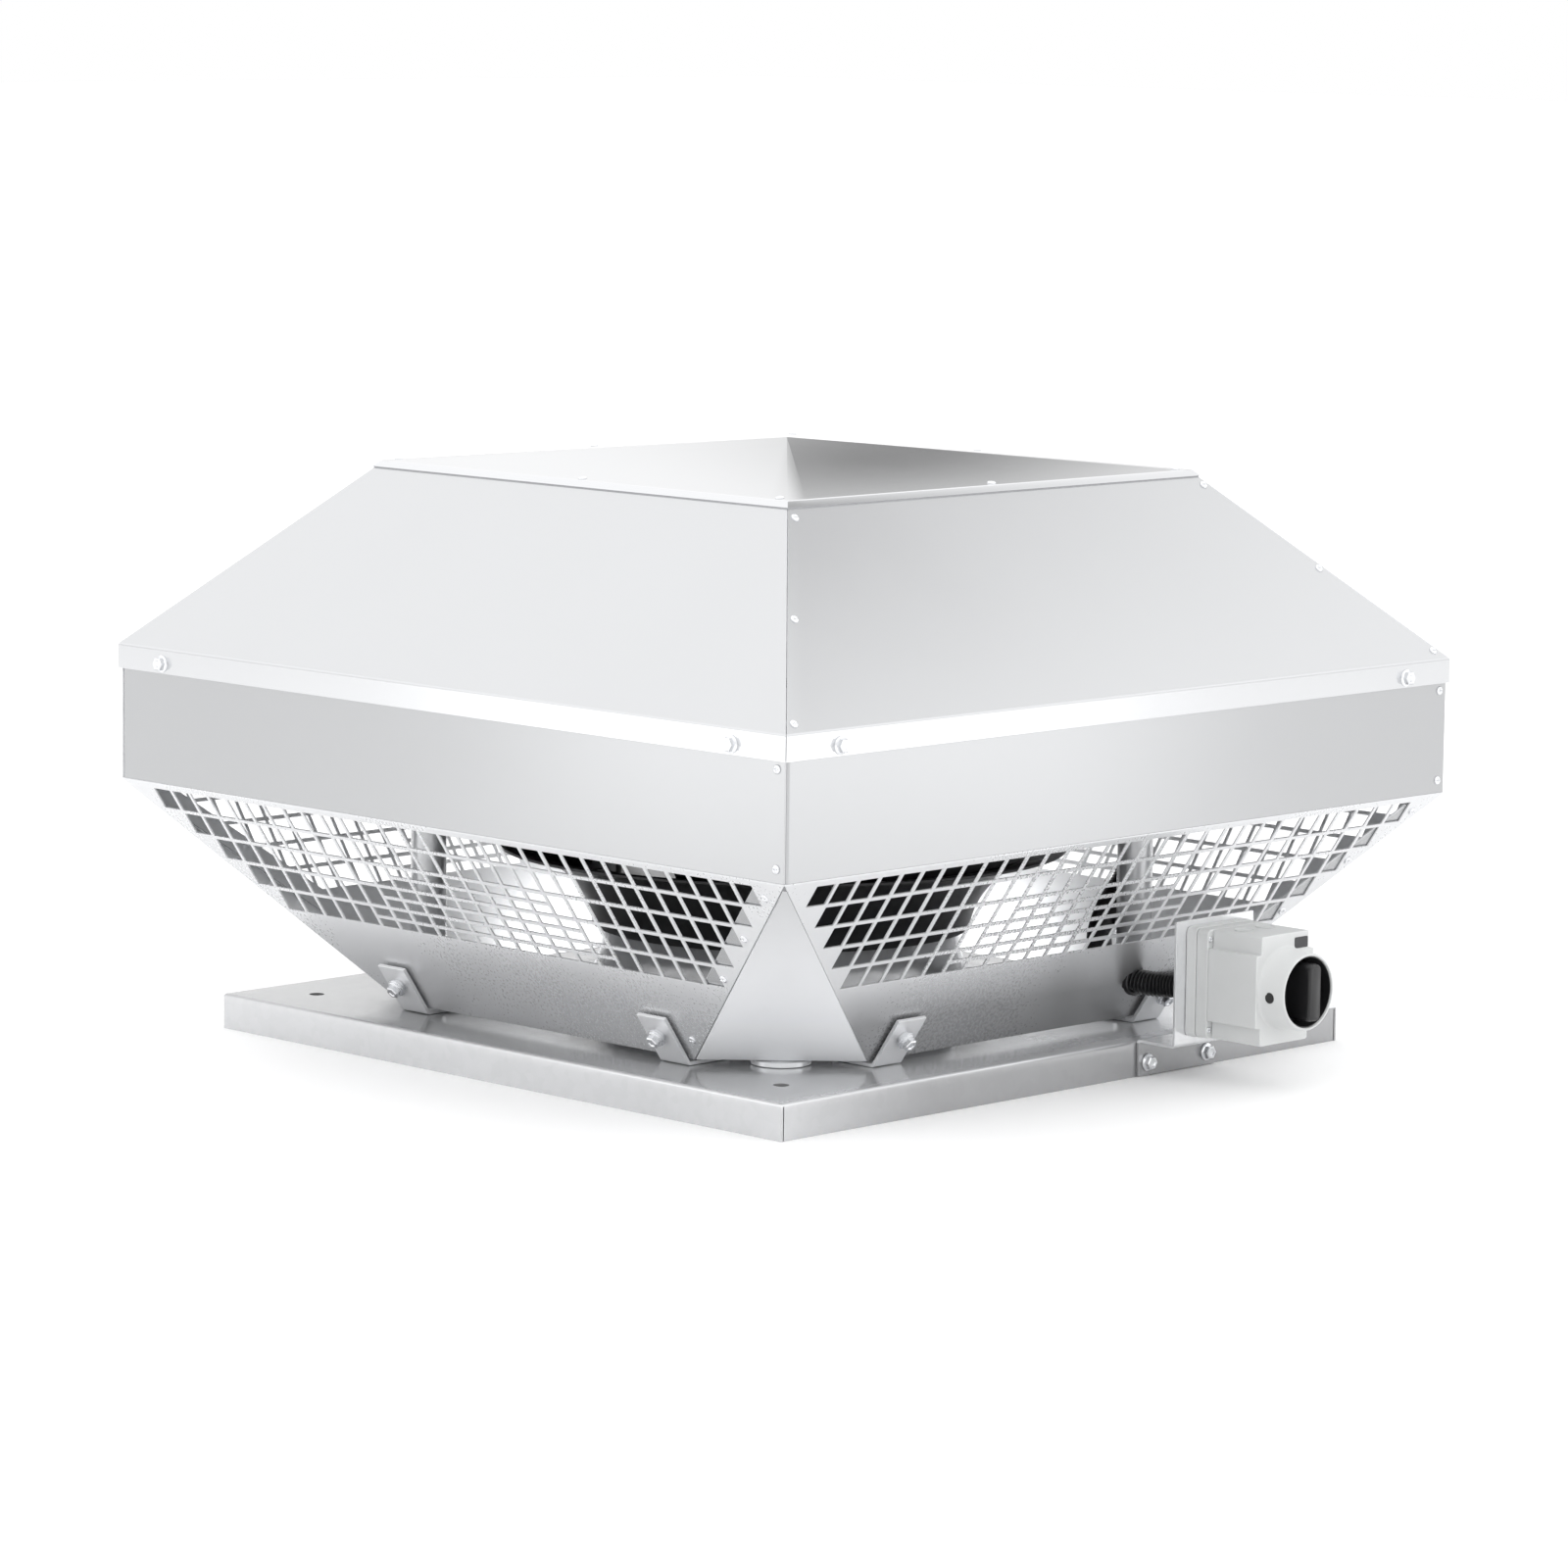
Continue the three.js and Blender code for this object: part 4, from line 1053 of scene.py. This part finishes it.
class AddImpeller(FanOperator):
    """Shroud, back plate, blades and the motor's rotor"""

    bl_idname = "fan.add_impeller"
    bl_label = "Add impeller"

    RADIUS = SHROUD_HIGH[0]
    EYE = 157 * MM
    SHEET = 2.5 * MM

    def execute(self, context):
        self.shroud()
        self.back_disc()
        self.blades()
        self.rotor()
        return {"FINISHED"}

    def shroud_z(self, a):
        """Height of the shroud's underside: the sine of the angle, to the power 1.2, from eye to rim."""
        eye_z, rim_z = SHROUD_LOW[2], SHROUD_HIGH[2] - self.SHEET
        return eye_z + (rim_z - eye_z) * np.sin(a) ** 1.2

    def shroud(self):
        """A quarter of a flattened ellipse from the eye up to the rim, turned round the axis."""
        radius, eye, t = self.RADIUS, self.EYE, self.SHEET
        a = np.linspace(0, math.pi / 2, 28)
        rise = self.shroud_z(a)
        under = np.stack([radius - (radius - eye - t) * np.cos(a), rise], -1)
        over = np.stack([radius - (radius - eye) * np.cos(a), rise + t], -1)
        make("shroud_dish", lathe(np.concatenate([under, over[::-1]]), 144), "impeller", "impeller",
             ("impeller_shroud",), 0.4 * MM)

    def back_disc(self):
        """A flat ring with its outer edge broken."""
        radius, back = self.RADIUS, BACK_LOW[2]
        bore, high = 68.4 * MM, BACK_HIGH[2]
        plate = [(bore, back), (radius - 1 * MM, back), (radius, back + 0.6 * MM), (radius, high - 0.6 * MM),
                 (radius - 1 * MM, high), (bore, high)]
        make("back_disc", lathe(plate, 144), "impeller", "impeller",
             ("impeller_back_plate",), 0.0)

    def blades(self):
        """Upright sheets whose angle grows with the share of the radius, to the power 0.8."""
        radius, eye, t = self.RADIUS, self.EYE, self.SHEET
        inner, outer, sweep = eye + 6 * MM, radius - 3 * MM, 0.62
        f = np.linspace(0, 1, 24)[:, None]
        up = np.linspace(0, 1, 5)[None]
        r = inner + (outer - inner) * f
        middle = sweep * f ** 0.8
        half = t / 2 / r / math.cos(0.9)
        low = self.shroud_z(np.arccos(np.clip((radius - r) / (radius - eye), 0, 1))) + t + 1.4 * MM
        z = low + (BACK_LOW[2] - 0.4 * MM - low) * up
        for i in range(self.sizes.blades):
            faces = []
            for side in (-1, 1):
                angle = middle + side * half + i * TAU / self.sizes.blades
                faces.append(np.stack(np.broadcast_arrays(r * np.cos(angle), r * np.sin(angle), z), -1))
            make(f"blade_{i + 1}", Shape().shell(faces[0], faces[1]), "impeller", "impeller",
                 (f"impeller_blade_{i + 1}",), 0.4 * MM)

    def rotor(self):
        """The motor's rounded can: one profile turned round the axis."""
        low, high = span("motor_rotor")
        rim, wall = 68 * MM, 6 * MM
        body = high[2] - 3 * MM
        profile = np.array([
            (0.2 * MM, low[2]), (rim - 22 * MM, low[2]), (rim - 6 * MM, low[2] + 3 * MM),
            (rim, low[2] + 10 * MM), (rim, body), (high[0], body), (high[0], high[2]), (rim - wall, high[2]),
            (rim - wall, low[2] + wall + 8 * MM), (0.2 * MM, low[2] + wall + 4 * MM)])
        make("rotor_can", lathe(profile, 96), "casting", "impeller",
             ("motor_rotor",), 0.6 * MM)


def along(y):
    """A shift by y along the fan's depth."""
    return np.array([0, y, 0])


class AddSwitch(FanOperator):
    """The isolator's bracket, box, collar, knob and plate"""

    bl_idname = "fan.add_switch"
    bl_label = "Add isolator switch"

    SEAT = -397 * MM
    COLLAR = 32 * MM

    def execute(self, context):
        self.bracket()
        self.case()
        self.collar()
        self.openings_and_screws()
        self.plate()
        self.knob()
        return {"FINISHED"}

    def bracket(self):
        """A strip bent twice: up the tray's side, out over its edge and up behind the box."""
        t = 2.5 * MM
        wall, out = -BRACKET_HIGH[1], -BRACKET_LOW[1] - t
        step = TRAY_TOP + 1.5 * MM
        path = rounded([(-wall, BRACKET_LOW[2]), (-wall, step), (-out, step), (-out, BRACKET_HIGH[2])],
                       [0, t + 0.8 * MM, 1.0 * MM, 0], 6)
        faces = strip(path, t, BRACKET_LOW[0], BRACKET_HIGH[0])
        make("bracket_sheet", Shape().shell(*faces), "tray", "root",
             ("switch_bracket",), 0.3 * MM)

    def outline(self, notch_x=0.0, notch_z=0.0, inset=0.0, radius=5 * MM):
        """A rounded rectangle in the plane of the box's face, its corners notched if asked."""
        w = (BOX_HIGH[0] - BOX_LOW[0]) / 2 - inset
        h = (BOX_HIGH[2] - BOX_LOW[2]) / 2 - inset
        if notch_x:
            x, z = w - notch_x, h - notch_z
            steps = [(w, 0), (w, z), (x, z), (x, h), (0, h)]
            quarter = rounded(steps, [0, 1.2 * MM, 1.2 * MM, 2.0 * MM, 0], 4)[1:-1]
        else:
            quarter = rounded([(w, 0), (w, h), (0, h)], radius, 7)[1:-1]
        plan = four_quarters(quarter)
        return np.stack([SWITCH_X + plan[:, 0], np.zeros(len(plan)), SWITCH_Z + plan[:, 1]], -1)

    def case(self):
        """The rear tray and the lid: the outline pushed straight back, the lid's with notched corners."""
        base = Shape().prism(self.outline(), along(BOX_HIGH[1]), along(BOX_LOW[1] - 0.1 * MM))
        make("switch_rear_tray", base, "switch", "root", ("switch_base",), 0.8 * MM)

        lid = Shape()
        lid.prism(self.outline(inset=0.5 * MM), along(LID_HIGH[1]), along(self.SEAT))
        notched = self.outline(6 * MM, 15 * MM, inset=0.5 * MM)
        lid.prism(notched, along(self.SEAT + 0.01 * MM), along(SWITCH_FRONT))
        make("switch_cover", lid, "switch", "root", ("switch_lid",), 1.6 * MM, segments=4)

    def collar(self):
        """A round wall that flares at its foot, and a black well inside it, both turned."""
        radius, ring, reach = self.COLLAR, 3 * MM, 25 * MM
        profile = np.array([
            (radius + 3.2 * MM, 0), (radius + 1.4 * MM, 0.7 * MM), (radius + 0.4 * MM, 2.4 * MM),
            (radius - 0.3 * MM, reach - 1.6 * MM), (radius - 1.0 * MM, reach - 0.3 * MM),
            (radius - 1.8 * MM, reach),
            (radius - ring + 0.5 * MM, reach - 0.2 * MM), (radius - ring, reach - 1.0 * MM),
            (radius - ring, 0.2 * MM), (radius - ring, -1.5 * MM), (radius + 3.2 * MM, -1.5 * MM)])
        turn = facing((0, -1, 0))
        middle = (SWITCH_X, SWITCH_FRONT, SWITCH_Z)
        collar = lathe(profile, 96).moved(turn, middle)
        make("switch_collar", collar, "switch", "root", (), 0.0)

        liner = radius - ring + 0.1 * MM
        well = np.array([(liner, -1 * MM), (liner, reach - 1.6 * MM), (liner - 0.9 * MM, reach - 1.6 * MM),
                         (liner - 1.2 * MM, 0.3 * MM), (0.2 * MM, 0.3 * MM), (0.2 * MM, -1 * MM)])
        floor = lathe(well, 64).moved(turn, middle)
        make("switch_well", floor, "black", "root", (), 0.0)

    def openings_and_screws(self):
        """The padlock's hole, four pan-head screws and two knockouts: small turned discs."""
        eyes = Shape()
        # The padlock's hole is a black disc on the collar's side: painted shade where the hole is.
        hole = np.array([(4.4, -2.0), (4.4, 0.3), (0.1, 0.3), (0.1, -2.0)]) * MM
        shape = lathe(hole, 32)
        at = (SWITCH_X - self.COLLAR + 0.1 * MM, SWITCH_FRONT - 11 * MM, SWITCH_Z - 3 * MM)
        eyes.take(shape.moved(facing((-1, 0, 0)), at))
        make("padlock_eye", eyes, "rubber", "root", (), 0.0)

        screws = Shape()
        w, h = (BOX_HIGH[0] - BOX_LOW[0]) / 2, (BOX_HIGH[2] - BOX_LOW[2]) / 2
        small = pan_screw().moved(np.eye(3) * 0.7)
        ends = ((-1, -1), (-1, 1), (1, -1), (1, 1))
        spots = [(SWITCH_X + x * (w - 3.2 * MM), self.SEAT, SWITCH_Z + z * (h - 8 * MM)) for x, z in ends]
        stand(screws, small, spots, (0, -1, 0))
        make("switch_screws", screws, "zinc", "root", smooth=50)

        knockouts = Shape()
        rim = np.array([(8.2, 0), (8.2, 0.5), (7.7, 0.5), (7.5, 0.1), (0.1, 0.1), (0.1, 0)]) * MM
        disc = lathe(rim, 40)
        for x in (-13 * MM, 13 * MM):
            knockouts.take(disc.moved(None, (SWITCH_X + x, -416 * MM, BOX_HIGH[2] - 0.42 * MM)))
        make("switch_knockouts", knockouts, "switch", "root", (), 0.0)

    def plate(self):
        """A small dark plate with rounded corners and nothing written on it."""
        plan = four_quarters(rounded([(8, 0), (8, 4.5), (0, 4.5)], 1.2, 4)[1:-1]) * MM
        x, z = SWITCH_X + 19 * MM, BOX_HIGH[2] - 9.5 * MM
        face = np.stack([x + plan[:, 0], np.zeros(len(plan)), z + plan[:, 1]], -1)
        plate = Shape().prism(face, along(SWITCH_FRONT + 0.2 * MM), along(SWITCH_FRONT - 0.5 * MM))
        make("switch_plate", plate, "label", "root", (), 0.15 * MM)

    def knob(self):
        """A turned disc, and a grip whose outline shrinks a little towards its end."""
        face = SWITCH_FRONT - 0.85 * MM
        turn = facing((0, -1, 0))
        disc = [(5.0, -0.2), (25.6, 0.0), (26.5, 0.9), (26.5, 5.6), (25.2, 7.0), (0.2, 7.0), (0.2, -0.2)]
        disc = np.array(disc) * MM
        made = lathe(disc, 72).moved(turn, (SWITCH_X, face, SWITCH_Z))
        width, height, low, high = 7.0 * MM, 24.0 * MM, 6.5 * MM, 31.5 * MM
        plan = four_quarters(rounded([(width, 0), (width, height), (0, height)], 4.5 * MM, 6)[1:-1])
        steps = [(low, 1.0), (high - 3.5 * MM, 0.96), (high - 0.8 * MM, 0.92), (high, 0.84)]
        rings = []
        for y, s in steps:
            x, z = SWITCH_X + plan[:, 0] * s, SWITCH_Z + plan[:, 1] * s ** 0.7
            rings.append(np.stack([x, np.full(len(plan), face - y), z], -1))
        made.grid(np.stack(rings), around=True, ends=True)
        make("knob_grip", made, "black", "knob", ("switch_knob",), 0.5 * MM, segments=2)


class AddConduit(FanOperator):
    """The ribbed conduit along its route"""

    bl_idname = "fan.add_conduit"
    bl_label = "Add conduit"

    ROUTE = (
        (125.5, -374, 72), (125.5, -355, 72), (122, -330, 71), (115, -308, 71), (110.5, -292, 75),
        (109, -276, 84), (122, -254, 89), (150, -226, 91), (182, -198, 94), (218, -175, 108),
        (244, -171, 132), (255, -174, 166), (255, -176, 210), (255, -177, 262), (253, -180, 298),
        (240, -186, 322), (212, -200, 329), (176, -215, 328), (142, -222, 327), (118, -215, 327),
        (108.8, -200, 327), (108, -189, 327), (108, -178, 327),
    )

    def line(self, step):
        """The route as a centripetal Catmull-Rom curve, resampled at an even step."""
        p = np.array(self.ROUTE, float) * MM
        p = np.concatenate([[2 * p[0] - p[1]], p, [2 * p[-1] - p[-2]]])
        knots = np.concatenate([[0], np.cumsum(np.sqrt(np.linalg.norm(np.diff(p, axis=0), axis=1)))])
        pieces = []
        for i in range(1, len(p) - 2):
            t = np.linspace(knots[i], knots[i + 1], 40)[:-1, None]
            k = knots[i - 1:i + 3]
            q = p[i - 1:i + 3]
            between = lambda i, j, one, two: ((k[j] - t) * one + (t - k[i]) * two) / (k[j] - k[i])
            a = [between(j, j + 1, q[j], q[j + 1]) for j in range(3)]
            b = [between(j, j + 2, a[j], a[j + 1]) for j in range(2)]
            pieces.append(between(1, 2, b[0], b[1]))
        fine = np.concatenate(pieces + [p[-2:-1]])
        reach = np.concatenate([[0], np.cumsum(np.linalg.norm(np.diff(fine, axis=0), axis=1))])
        at = np.linspace(0, reach[-1], int(reach[-1] / step) + 1)
        return np.stack([np.interp(at, reach, fine[:, k]) for k in range(3)], -1), at

    def execute(self, context):
        pitch = self.sizes.rib_pitch
        centre, at = self.line(pitch / 8)
        tangent = np.gradient(centre, axis=0)
        tangent /= np.linalg.norm(tangent, axis=1, keepdims=True)
        side = np.cross(tangent, [1.0, 0.05, 0])
        side /= np.linalg.norm(side, axis=1, keepdims=True)
        over = np.cross(tangent, side)
        wave = 0.5 + 0.5 * np.cos(TAU * at / pitch)
        r = (10.5 * MM - 2.2 * MM * (1 - wave ** 0.8))[:, None, None]
        a = np.linspace(0, TAU, 28, endpoint=False)[None, :, None]
        P = centre[:, None] + r * (np.cos(a) * side[:, None] + np.sin(a) * over[:, None])
        radius = 10.6 * MM
        ring = [(-1.5, -3), (1.6, -3), (1.6, 0.9), (0.8, 1.6), (-1.5, 1.6)]
        ring = np.array(ring) * MM + [radius, 0]
        grommet = lathe(ring, 40).moved(facing((0, -1, 0)), (112.6 * MM, -299.5 * MM, 71.5 * MM))
        make("conduit_grommet", grommet, "black", "root", ("conduit_bush",), 0.0)
        make("ribbed_conduit", Shape().grid(P, around=True, ends=True), "black", "root",
             ("conduit",), smooth=80)
        return {"FINISHED"}


class AddMotor(FanOperator):
    """Finish for the motor and the other pieces that keep their frame shape"""

    bl_idname = "fan.add_motor"
    bl_label = "Add motor finishes"

    FINISHES = {
        "motor_plate": ("tray", "galvanised_sheet"), "motor_stator": ("casting", "motor_casting"),
        "motor_shaft": ("steel", "bright_steel"), "motor_bearing_lower": ("steel", "bright_steel"),
        "motor_bearing_upper": ("steel", "bright_steel"), "terminal_box": ("casting", "motor_casting"),
        "conduit_gland": ("black", "conduit_black"),
        "switch_contact_block": ("black", "switch_black"),
    }

    def execute(self, context):
        for node, (material, slot) in self.FINISHES.items():
            body = "impeller" if node == "motor_shaft" else "root"
            from_frame(node, material, body, 0.5 * MM if node != "terminal_box" else 3 * MM)
        return {"FINISHED"}


class FanPanel(bpy.types.Panel):
    """Lists the fan's operators and sizes"""

    bl_idname = "VIEW3D_PT_fan"
    bl_label = "Roof exhaust fan"
    bl_space_type = "VIEW_3D"
    bl_region_type = "UI"
    bl_category = "Fan"

    def draw(self, context):
        for group in (context.scene.fan_sizes, context.scene.fan_colours):
            for name in group.__annotations__:
                self.layout.prop(group, name)
        for operator in OPERATORS:
            self.layout.operator(operator.bl_idname)


OPERATORS = (AddMaterials, AddStage, AddHoodSides, AddRoof, AddFixings, AddLugs, AddBase, AddImpeller,
             AddSwitch, AddConduit, AddMotor)


def register():
    for kind in (FanSizes, FanColours, *OPERATORS, FanPanel):
        bpy.utils.register_class(kind)
    bpy.types.Scene.fan_sizes = bpy.props.PointerProperty(type=FanSizes)
    bpy.types.Scene.fan_colours = bpy.props.PointerProperty(type=FanColours)


def unregister():
    del bpy.types.Scene.fan_sizes, bpy.types.Scene.fan_colours
    for kind in reversed((FanSizes, FanColours, *OPERATORS, FanPanel)):
        bpy.utils.unregister_class(kind)


def main():
    register()
    for operator in OPERATORS:
        getattr(bpy.ops.fan, operator.bl_idname.split(".")[1])()
    bpy.context.view_layer.update()


if __name__ == "__main__":
    main()
